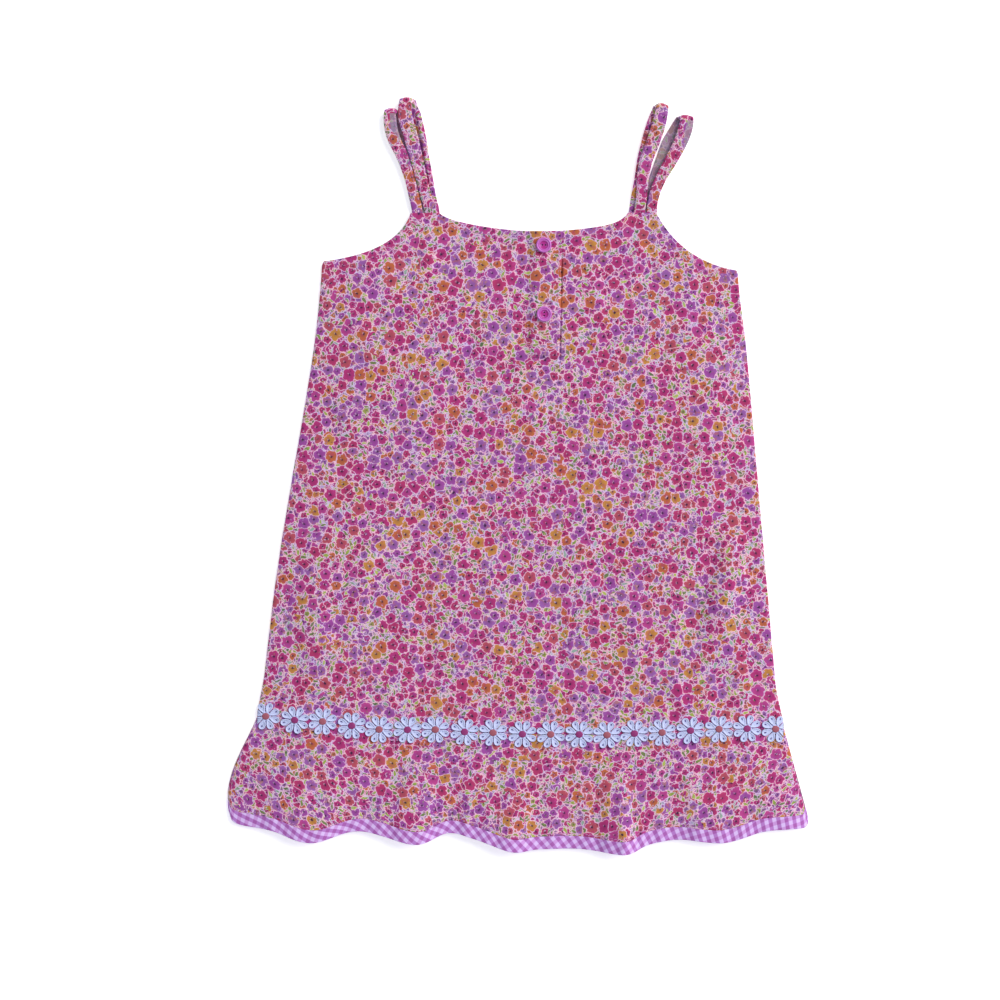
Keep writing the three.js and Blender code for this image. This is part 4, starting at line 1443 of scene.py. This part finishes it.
print("points of a turned button:", len(lathe(BUTTON_PROFILE, BUTTON_SIDES)[0]))

# %% Buttons
# Name, place on the dress, and turn of its two holes
BUTTONS = [("button_upper", 8.6, 154.9, 0.0), ("button_lower", 9.9, 108.5, math.pi / 2)]
BUTTON_RADIUS = 5.2
BUTTON_SEAT = 1.8  # height of its underside above the front
# The inner ring and the well: where each fades in, and how much of the sunk colour each adds
BUTTON_RING, RING_SUNK = (3.6, 3.9), 0.32
BUTTON_WELL, WELL_SUNK = (2.5, 2.85), 0.68
HOLE = [(0.0, -1.0), (0.6, -1.0), (0.6, 4.0), (0.0, 4.0)]
HOLE_OUT = 1.05  # from the button's middle
SHANK = [(0.0, -0.9), (0.9, -0.9), (0.75, -0.3), (0.9, 0.2), (0.0, 0.2)]


def placed(x, y, z, turn):
    """Matrix that turns a small part and carries it to its place, in metres."""
    return Matrix.Translation(Vector((x, y, z)) * MM) @ Matrix.Rotation(turn, 4, "Z")


def sewn_button(name, x, y, turn):
    """A button and the thread that holds it."""
    seat = max(float(panel_top(x, y + end * BUTTON_RADIUS)) for end in (-1, 1)) + BUTTON_SEAT
    points, faces = lathe(BUTTON_PROFILE, BUTTON_SIDES)
    wider = BUTTON_RADIUS / max(radius for radius, _ in BUTTON_PROFILE)
    points = points * (wider, wider, 1.0)
    disc = plain_object(name + "_disc", points, faces, plastic)
    radius = np.hypot(points[:, 0], points[:, 1])
    ring, well = (1 - smooth(radius, *border) for border in (BUTTON_RING, BUTTON_WELL))
    give(disc, "sunk", RING_SUNK * ring + WELL_SUNK * well)
    hole, hole_faces = lathe(HOLE, THREAD_SIDES)
    holes = gathered([(hole + (side * HOLE_OUT, 0.0, 0.0), hole_faces) for side in (-1, 1)])
    drill = plain_object(name + "_drill", *holes, plastic)
    cut = disc.modifiers.new("holes", "BOOLEAN")
    cut.operation = "DIFFERENCE"
    cut.solver = "EXACT"
    cut.object = drill
    as_plain_mesh(disc)
    bpy.data.objects.remove(drill)
    sewn = plain_object(name + "_thread", *lathe(SHANK, THREAD_SIDES), button_thread)
    for part in (disc, sewn):
        part.data.transform(placed(x, y, seat, turn))
    return disc, sewn


buttons = {row[0]: sewn_button(*row) for row in BUTTONS}
print("a button has", len(buttons["button_upper"][0].data.polygons), "faces")

# %% [markdown]
# ## The daisy trim
# The trim is a chain of machine-made lace daisies. Each petal is a loop of satin stitch: a
# raised, rounded rim round a thinner web with a small hole near its tip. A petal's outline is a
# teardrop, and rings drawn in from it towards the hole give the rim its height. Eight petals
# make a daisy, nineteen daisies a chain, and every point is then laid on the cloth below it, so
# the trim follows the dress round its sides.

# %% A lace petal and a daisy
PETAL_COUNT = 8
PETAL_BASE = 1.5  # where a petal starts, from the daisy's middle
PETAL_LONG = 7.75
PETAL_HALF = 2.1
PETAL_DROP = 1.15  # above 1 the widest place lies nearer to the tip
PETAL_FULL = 1.45  # makes up for the width that the teardrop loses
HOLE_AT = 0.76  # place of the hole along the petal
PETAL_SIDES = 26
# Share of the way out from the hole's middle, height in mm
PETAL_RINGS = [
    (1.0, 0.1), (0.97, 0.6), (0.9, 1.0), (0.81, 1.08), (0.72, 0.9), (0.63, 0.62), (0.4, 0.58),
    (0.31, 0.66), (0.24, 0.5), (0.2, 0.14), (0.05, 0.12), (0.05, 0.06),
]
HOLE_FROM = 9  # the hole starts at this ring
WEB = [(0.0, 0.1), (3.1, 0.1), (3.2, 0.35), (2.6, 0.55), (0.0, 0.6)]
DISC_SIDES = 24


def petal(rings, sides):
    """Points and faces of one lace petal along +X, closed all round."""
    turn = np.linspace(0, 2 * math.pi, sides, endpoint=False)
    width = PETAL_HALF * np.sin(turn) * np.abs(np.sin(turn / 2)) ** PETAL_DROP * PETAL_FULL
    outline = np.stack([PETAL_BASE + PETAL_LONG * (1 - np.cos(turn)) / 2, -width], -1)
    middle = np.array([PETAL_BASE + PETAL_LONG * HOLE_AT, 0.0])
    points = []
    for share, high in rings:
        ring = middle + share * (outline - middle)
        points.append(np.column_stack([ring, np.full(sides, high)]))
    index = np.arange(len(rings) * sides).reshape(-1, sides)
    index = np.concatenate([index, index[:1]], 0)
    index = np.concatenate([index, index[:, :1]], 1)
    return np.concatenate(points), grid_faces(index)


def turned_round(points, turn):
    """Points turned about the Z axis."""
    x, y, z = points.T
    u = x * math.cos(turn) - y * math.sin(turn)
    v = x * math.sin(turn) + y * math.cos(turn)
    return np.column_stack([u, v, z])


def daisy_shape(rings, sides, web):
    """A whole daisy: eight petals over a small web that joins them."""
    points, faces = petal(rings, sides)
    turns = [math.pi / PETAL_COUNT * (2 * k + 1) for k in range(PETAL_COUNT)]
    petals = [(turned_round(points, turn), faces) for turn in turns]
    return gathered([*petals, lathe(web, DISC_SIDES)])


print("faces of a daisy:", len(daisy_shape(PETAL_RINGS, PETAL_SIDES, WEB)[1]))

# %% Lace and its coloured hearts
LACE_WHITE = colour("d2daff")
# Painted shade of the white lace, laid on along the satin stitch's ridges.
LACE_PAINTED_SHADE = colour("a8b0e0")
# Painted shadow: the pit of each petal's hole is coloured dark.
LACE_HOLE_SHADOW = colour("6a62a4")
RIDGE, CROSS_RIDGE = 0.45 * MM, 0.5 * MM  # from one ridge of satin stitch to the next
RIDGE_SLANT, CROSS_SLANT = 0.8, 0.7
PAINTED_SHADE_SHARE = 0.25
HOLE_SHADOW_SHARE = 0.85


def lace(name):
    """White satin stitch: fine ridges that run across each petal's rim, with painted shade that follows
    the ridges.
    """
    paint = Finish(name)
    x, y, _ = paint.parts(paint.own_place())
    ridges = x.math("SINE", (x * RIDGE_SLANT + y) * (2 * math.pi / RIDGE))
    cross = x.math("SINE", (x - y * CROSS_SLANT) * (2 * math.pi / CROSS_RIDGE))
    height = 0.5 + 0.25 * (ridges + cross)
    # Painted shade: the lace's colour darkens with the height of its ridges.
    shown = paint.mix(height * PAINTED_SHADE_SHARE, LACE_WHITE, LACE_PAINTED_SHADE)
    # The pit of each hole gets its painted shadow here.
    shown = paint.mix(paint.given("hole") * HOLE_SHADOW_SHARE, shown, LACE_HOLE_SHADOW)
    normal = paint.bump(height, 0.12 * MM, 0.6)
    inputs = {"Base Color": shown, "Normal": normal, "Roughness": 0.78}
    return paint.shade({**inputs, "Sheen Weight": 0.25, "Sheen Roughness": 0.4})


white_lace = lace("daisy_lace_white")
coral_heart = thread("daisy_heart_coral", "ac5a6c", 0.6)
magenta_heart = thread("daisy_heart_magenta", "982a76", 0.6)
print("nodes in the lace:", len(white_lace.node_tree.nodes))

# %% The chain of daisies
LACE_LIFT = 0.12
DAISY_HALF_WIDE = 9.3
DAISY_HALF_TALL = 8.8
TRIM_END = TRIM_HALF - 0.3  # the last petals bend down no further out than this
# Middle of each daisy, sewn on a little unevenly, and its own small turn in degrees
DAISIES = [
    (-171.2, -165.4, 8), (-151.6, -167.4, -3), (-132.8, -167.9, 2), (-113.2, -170.3, 5),
    (-94.8, -172.4, 1), (-75.7, -172.2, -2), (-57.1, -171.7, 3), (-37.4, -172.8, -3),
    (-18.3, -172.9, 2), (1.4, -173.5, 0), (20.4, -173.2, 4), (39.5, -172.8, -2),
    (58.2, -172.8, 1), (76.5, -171.4, -4), (95.1, -170.3, 2), (114.1, -168.6, 3),
    (133.2, -167.2, -1), (152.1, -166.5, 2), (171.4, -166.5, -6),
]
HEART_DOME = [
    (0.0, 0.3), (2.3, 0.3), (2.62, 0.62), (2.6, 0.95), (2.3, 1.2), (1.7, 1.36), (0.9, 1.46),
    (0.0, 1.5),
]
HEART_OVAL = (0.98, 0.88, 1.0)


def trim_base(x, y):
    """Height of the cloth under the trim: the panel above the seam and the flounce below it."""
    seam = seam_y(x)
    inside = np.clip(from_side_seam(x, np.maximum(y, seam)), 0, None)
    pucker = np.clip(puckers_at(x, np.maximum(seam - y, 0)), 0, None)
    return bend_to_seam(front_height(x, y, inside) + pucker + LACE_LIFT, inside)


def slope_turn(x):
    """Angle of the flounce seam."""
    return math.atan(2 * (TRIM_Y - SEAM_Y) * x / TRIM_HALF**2)


def chain(name, shape, places, finish):
    """Shapes along the seam, each laid on the cloth."""
    points, faces = shape
    sewn = []
    for x, y, own_turn in places:
        u, v, high = turned_round(points, slope_turn(x) + math.radians(own_turn)).T
        u = np.clip(x + u, -TRIM_END, TRIM_END)
        v = y + v
        sewn.append((np.column_stack([u, v, trim_base(u, v) + high]), faces))
    return plain_object(name, *gathered(sewn), finish)


def sized(shape):
    """Scales a daisy to the trim's pitch and height."""
    points, faces = shape
    reach = np.abs(points[:, :2]).max(0)
    points = points * (DAISY_HALF_WIDE / reach[0], DAISY_HALF_TALL / reach[1], 1.0)
    return points, faces


daisy = sized(daisy_shape(PETAL_RINGS, PETAL_SIDES, WEB))
trim = chain("daisy_trim_lace", daisy, DAISIES, white_lace)
ring_number = np.arange(len(PETAL_RINGS)).repeat(PETAL_SIDES)
# Points in the pit of each petal's hole, which the lace paints dark as a painted shadow.
hole_shadow_mask = np.zeros(len(daisy[0]), np.float32)
hole_shadow_mask[: PETAL_COUNT * len(ring_number)] = np.tile(ring_number >= HOLE_FROM, PETAL_COUNT)
give(trim, "hole", np.tile(hole_shadow_mask, len(DAISIES)))
heart_points, heart_faces = lathe(HEART_DOME, DISC_SIDES)
heart = heart_points * HEART_OVAL, heart_faces
hearts = [
    chain("daisy_hearts_coral", heart, DAISIES[0::2], coral_heart),
    chain("daisy_hearts_magenta", heart, DAISIES[1::2], magenta_heart),
]
print("daisies:", len(DAISIES), "faces:", len(trim.data.polygons))

# %% [markdown]
# ## Stitches
# Topstitching repeats one small thing along a line, which is what Geometry Nodes are best at.
# The lines are drawn as bare edges that already lie on the cloth. The tree turns them into
# curves, sets a point every stitch length, puts one stitch on each point along the curve, makes
# the copies real and gives them the thread. Its inputs are named, so one tree serves all seams.

# %% The stitch tree
SOCKETS = [
    ("Geometry", "INPUT", "NodeSocketGeometry"), ("Stitch", "INPUT", "NodeSocketObject"),
    ("Spacing", "INPUT", "NodeSocketFloat"), ("Uneven", "INPUT", "NodeSocketFloat"),
    ("Thread", "INPUT", "NodeSocketMaterial"), ("Geometry", "OUTPUT", "NodeSocketGeometry"),
]
STITCH_SEED = 7


def stitch_tree():
    """Sets a stitch on every step of the lines that it is given."""
    tree = bpy.data.node_groups.new("stitches_on_lines", "GeometryNodeTree")
    for label, way, kind in SOCKETS:
        tree.interface.new_socket(label, in_out=way, socket_type=kind)

    def node(kind, settings=None, links=None):
        made = tree.nodes.new(kind)
        for key, value in (settings or {}).items():
            setattr(made, key, value)
        for key, value in (links or {}).items():
            if isinstance(value, bpy.types.NodeSocket):
                tree.links.new(value, made.inputs[key])
            else:
                made.inputs[key].default_value = value
        return made.outputs

    given = node("NodeGroupInput")
    line = node("GeometryNodeMeshToCurve", None, {0: given["Geometry"]})
    spacing = {"Curve": line[0], "Length": given["Spacing"]}
    spaced = node("GeometryNodeResampleCurve", {"mode": "LENGTH"}, spacing)
    motif = node("GeometryNodeObjectInfo", None, {"Object": given["Stitch"]})
    along = node("GeometryNodeInputTangent")
    turned = node("FunctionNodeAlignRotationToVector", {"axis": "X"}, {"Vector": along[0]})
    least = node("ShaderNodeMath", {"operation": "SUBTRACT"}, {0: 1.0, 1: given["Uneven"]})
    most = node("ShaderNodeMath", {"operation": "ADD"}, {0: 1.0, 1: given["Uneven"]})
    limits = {2: least[0], 3: most[0], "Seed": STITCH_SEED}
    size = node("FunctionNodeRandomValue", {"data_type": "FLOAT"}, limits)
    each = {"Points": spaced[0], "Instance": motif["Geometry"], "Rotation": turned[0]}
    stitched = node("GeometryNodeInstanceOnPoints", None, {**each, "Scale": size[1]})
    real = node("GeometryNodeRealizeInstances", None, {0: stitched[0]})
    finished = node("GeometryNodeSetMaterial", None, {"Geometry": real[0], "Material": given["Thread"]})
    node("NodeGroupOutput", None, {"Geometry": finished[0]})
    return tree


STITCHES = stitch_tree()
print("nodes in the stitch tree:", len(STITCHES.nodes))

# %% Stitches along lines
STITCH_PROFILE = [(0.0, -1.0), (0.6, -0.86), (1.0, -0.5), (1.0, 0.5), (0.6, 0.86), (0.0, 1.0)]
STITCH_SIDES = 6
STITCH_LONG = 1.9
STITCH_THICK = 0.42
STITCH_SPACING = 2.5
STITCH_UNEVEN = 0.1


def stitch_shape(name, long, thick):
    """One stitch along X: a short bar with rounded ends."""
    points, faces = lathe(STITCH_PROFILE, STITCH_SIDES)
    points = points[:, [2, 0, 1]] * (long / 2, thick / 2, thick / 2)
    return plain_object(name, points, faces, sewing_thread)


def stitch_lines(name, lines, stitch):
    """Stitches along lines of millimetre points."""
    points, edges = gathered([(line, [(k, k + 1) for k in range(len(line) - 1)]) for line in lines])
    mesh = bpy.data.meshes.new(name)
    mesh.from_pydata((points * MM).tolist(), edges, [])
    piece = add_object(name, mesh)
    modifier = piece.modifiers.new("stitches", "NODES")
    modifier.node_group = STITCHES
    values = {"Stitch": stitch, "Thread": sewing_thread}
    values.update({"Spacing": STITCH_SPACING * MM, "Uneven": STITCH_UNEVEN})
    for item in STITCHES.interface.items_tree:
        if item.in_out == "INPUT" and item.name in values:
            modifier[item.identifier] = values[item.name]
    as_plain_mesh(piece)
    piece.data.shade_smooth()
    return piece


stitch = stitch_shape("stitch_pattern", STITCH_LONG, STITCH_THICK)
print("faces of a stitch:", len(stitch.data.polygons))

# %% Seams that are stitched
STITCH_UP = 0.02  # the middle of a stitch above the cloth
NECK_LINE_IN = 2  # the neckline's stitches start this far from the strap corners
ARMHOLE_STEP = 0.7  # between the points of an armhole's line
PLACKET_LINE_TOP = 156.0
PLACKET_LINE_IN = 1.8  # from the placket's fold
PLACKET_LINES_UP = (2.0, 8.5)  # the two lines across its lower end
HEM_LINE_UP = 1.6  # above the gingham band
HEM_LINE_IN = 4
STRAP_LINE_IN = 1.3  # from a strap's edge


def line_on(top_of, x, y):
    """A line of points on a surface."""
    x, y = np.broadcast_arrays(np.asarray(x, float), np.asarray(y, float))
    return np.column_stack([x, y, top_of(x, y) + STITCH_UP])


def inside_edge(x, inward):
    """Points at a distance inward from the upper edge."""
    slope = top_slope(x)
    length = np.sqrt(1 + slope**2)
    return x + slope / length * inward, top_y(x) - inward / length


def neck_lines():
    """The line along the neckline, which steps up on the placket."""
    x, y = inside_edge(np.arange(NECK_LEFT + NECK_LINE_IN, NECK_RIGHT - NECK_LINE_IN), STITCH_IN)
    left = x < PLACKET_LEFT
    right = x > PLACKET_RIGHT
    over = (x > PLACKET_LEFT + PLACKET_EASE) & (x < PLACKET_RIGHT - 1)
    return [
        line_on(panel_top, x[left], y[left]),
        line_on(placket_top, x[over], y[over]),
        line_on(panel_top, x[right], y[right]),
    ]


def armhole_lines():
    """The lines along both armholes."""
    left = np.arange(ARMHOLE_LEFT[2][0] + 1.0, CORNER_LEFT - 1.0, ARMHOLE_STEP)
    right = np.arange(CORNER_RIGHT + 1.5, ARMHOLE_RIGHT[2][0] - 1.0, ARMHOLE_STEP)
    left, right = inside_edge(left, STITCH_IN), inside_edge(right, STITCH_IN)
    return [line_on(panel_top, *left), line_on(panel_top, *right)]


def placket_lines():
    """One line beside the fold and two across the lower end."""
    y = np.arange(PLACKET_LOW + 3, PLACKET_LINE_TOP)
    x = np.arange(PLACKET_LEFT + 2, PLACKET_RIGHT - 1.5)
    across = [line_on(placket_top, x, PLACKET_LOW + up) for up in PLACKET_LINES_UP]
    return [line_on(placket_top, PLACKET_RIGHT - PLACKET_LINE_IN, y), *across]


def hem_line_on_flounce():
    """A line just above the gingham band."""
    places = np.arange(HEM_X[0] + HEM_LINE_IN, HEM_X[-1] - HEM_LINE_IN)
    columns = np.interp(places, hem_line, counted)
    deep = flounce_grid(columns, 0.0, 0.0)[3]
    x, y, top = front_flounce_top(columns, 1 - (BAND + HEM_LINE_UP) / deep)
    return [np.column_stack([x, y, top + STITCH_UP])]


def strap_lines():
    """Two lines on the upper face of each strap's front run."""
    lines = []
    for _, points, across, wide, _ in straps.values():
        run = slice(RUN_STEPS // 5, RUN_STEPS - 4)
        for side in (-1, 1):
            offset = (side * (wide[run] / 2 - STRAP_LINE_IN))[:, None] * across[run]
            lines.append(points[run] + offset + (0.0, 0.0, STRAP / 2 + STRAP_CROWN / 2))
    return lines


print("points of the line above the band:", len(hem_line_on_flounce()[0]))

# %% Sewing the seams
lines = neck_lines() + armhole_lines() + placket_lines() + hem_line_on_flounce()
topstitching = stitch_lines("topstitching", lines, stitch)
strap_stitching = stitch_lines("strap_stitching", strap_lines(), stitch)
bpy.data.objects.remove(stitch)
print("stitches:", len(topstitching.data.polygons), "faces")

# %% [markdown]
# ## Joining the pieces to the frame
# Every piece rides on the one body and stands for the plain solid whose place it takes, which
# is hidden. The cut sizes of the flounce, its band and the straps are worked out from the same
# tables as their shapes.

# %% Joining the pieces to the frame
def join(piece, slot, *nodes):
    """Says what a piece rides on, and the plain solids that it stands for. Its slot is not used."""
    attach(piece, "root")
    if nodes:
        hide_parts(*nodes)


join(front_panel, "printed_cotton", "front_panel")
join(back_panel, "printed_cotton", "back_panel")
join(placket, "printed_cotton", "placket")
for name, (piece, *_) in {**flounce, **straps}.items():
    join(piece, "gingham" if "band" in name else "printed_cotton", name)
for name, (disc, sewn) in buttons.items():
    join(disc, "button_plastic", name)
    join(sewn, "button_plastic")
join(trim, "daisy_lace", "daisy_trim")
for piece in hearts:
    join(piece, "daisy_lace")
for piece in (topstitching, strap_stitching):
    join(piece, "printed_cotton")
print("pieces that stand for a solid:", 3 + len(flounce) + len(straps) + len(buttons) + 1)


# %% The cut of each piece of cloth
def cut_size(x, y, z):
    """Longest run across, longest run down, and the area of a grid, in metres."""
    across = run_lengths(x, y, z, 0)[-1]
    down = run_lengths(x, y, z, 1)[:, -1]
    area = float(across.mean() * down.mean()) * MM**2
    return float(across.max()) * MM, float(down.max()) * MM, area


# The back's flounce and band lie flatter and are shorter: width and areas as shares of the front's
BACK_WIDE, BACK_AREA, BACK_BAND_AREA = 0.96, 0.93, 0.94

front_flounce, *flounce_grids = flounce["front_flounce"]
band_front, *band_grids = flounce["hem_band_front"]
body_long = (float(top_y(CORNER_RIGHT)) - SEAM_Y) * MM
wide, deep, area = cut_size(*flounce_grids)
print("front flounce:", round(wide, 3), round(deep, 3), round(area, 4))
wide * BACK_WIDE
area * BACK_AREA
wide, deep, area = cut_size(*band_grids)
wide * BACK_WIDE
area * BACK_BAND_AREA
for piece, _, _, wide, long in straps.values():
    area = float(np.mean(wide)) * MM * long * MM
    long * MM

# %% [markdown]
# ## Floor, light and camera
# The dress is seen from straight above, turned by a little over one degree. A large softbox
# stands to the upper right, so the left flanks of the folds are a little darker and the hem gets
# a little less light than the straps. A pale world fills in the shadows. The floor is white and
# glows a little, which is painted light: the glow fills in the shadows on the floor, so only
# faint shadows are left on it.

# %% Floor
FLOOR_HALF = 3.0
FLOOR_Z = -0.0001
# The floor's glow is painted light: it lifts the shadows on the floor towards white.
FLOOR_PAINTED_GLOW = 0.55
FLOOR_WHITE = colour("fbfbfc")
FLOOR_SHADE = colour("f6f7f9")


def glowing_floor_finish(name):
    """A white floor that glows a little: painted light that fills in its shadows."""
    paint = Finish(name)
    shown = paint.mix(paint.noise(paint.own_place(), 0.4), FLOOR_WHITE, FLOOR_SHADE)
    painted_glow = {"Emission Color": FLOOR_WHITE, "Emission Strength": FLOOR_PAINTED_GLOW}
    return paint.shade({"Base Color": shown, "Roughness": 0.9, **painted_glow})


mesh = bpy.data.meshes.new("floor")
corners = [(x, y, FLOOR_Z) for x, y in ((-1, -1), (1, -1), (1, 1), (-1, 1))]
mesh.from_pydata([(x * FLOOR_HALF, y * FLOOR_HALF, z) for x, y, z in corners], [], [(0, 1, 2, 3)])
mesh.materials.append(glowing_floor_finish("floor_white_glowing"))
floor = add_object("floor", mesh)
print("floor:", 2 * FLOOR_HALF, "m wide")

# %% Light
LAMP_AWAY = 7.0
LAMP_TOWARDS = (1.5, 1.0, 1.5)
LAMP_SPREAD = math.radians(44)  # how wide the lamp looks from the dress
LAMP_WATTS = 495
LAMP_COLOUR = (1.0, 0.965, 0.93)
SKY_COLOUR = (0.84, 0.90, 1.0, 1.0)
SKY_STRENGTH = 0.44


def soft_lamp(name):
    """A round softbox that faces the dress."""
    light = bpy.data.lights.new(name, "AREA")
    light.shape = "DISK"
    light.size = 2 * LAMP_AWAY * math.tan(LAMP_SPREAD / 2)
    light.energy = LAMP_WATTS
    light.color = LAMP_COLOUR
    lamp = add_object(name, light)
    lamp.location = Vector(LAMP_TOWARDS).normalized() * LAMP_AWAY
    lamp.rotation_euler = (-lamp.location).to_track_quat("-Z", "Y").to_euler()
    return light


lamp_light = soft_lamp("key_light")
world = bpy.data.worlds.new("studio")
world.use_nodes = True
sky = world.node_tree.nodes["Background"].inputs
sky["Color"].default_value = SKY_COLOUR
sky["Strength"].default_value = SKY_STRENGTH
bpy.context.scene.world = world
bpy.context.scene.view_settings.view_transform = "Standard"
print("lamp:", round(lamp_light.size, 2), "m wide,", LAMP_AWAY, "m away")

# %% Camera
VIEW_WIDE = 0.67308  # metres across the picture
VIEW_CENTRE = (-17.0 * MM, -16.7 * MM)
VIEW_TURN = math.radians(1.25)
VIEW_HIGH = 1.8
SENSOR = 36.0

lens = bpy.data.cameras.new("camera")
lens.sensor_width = SENSOR
lens.lens = SENSOR * VIEW_HIGH / VIEW_WIDE
camera = add_object("camera", lens)
camera.location = (*VIEW_CENTRE, VIEW_HIGH)
camera.rotation_euler = (0.0, 0.0, VIEW_TURN)
bpy.context.scene.camera = camera
print("lens:", round(lens.lens, 1), "mm")
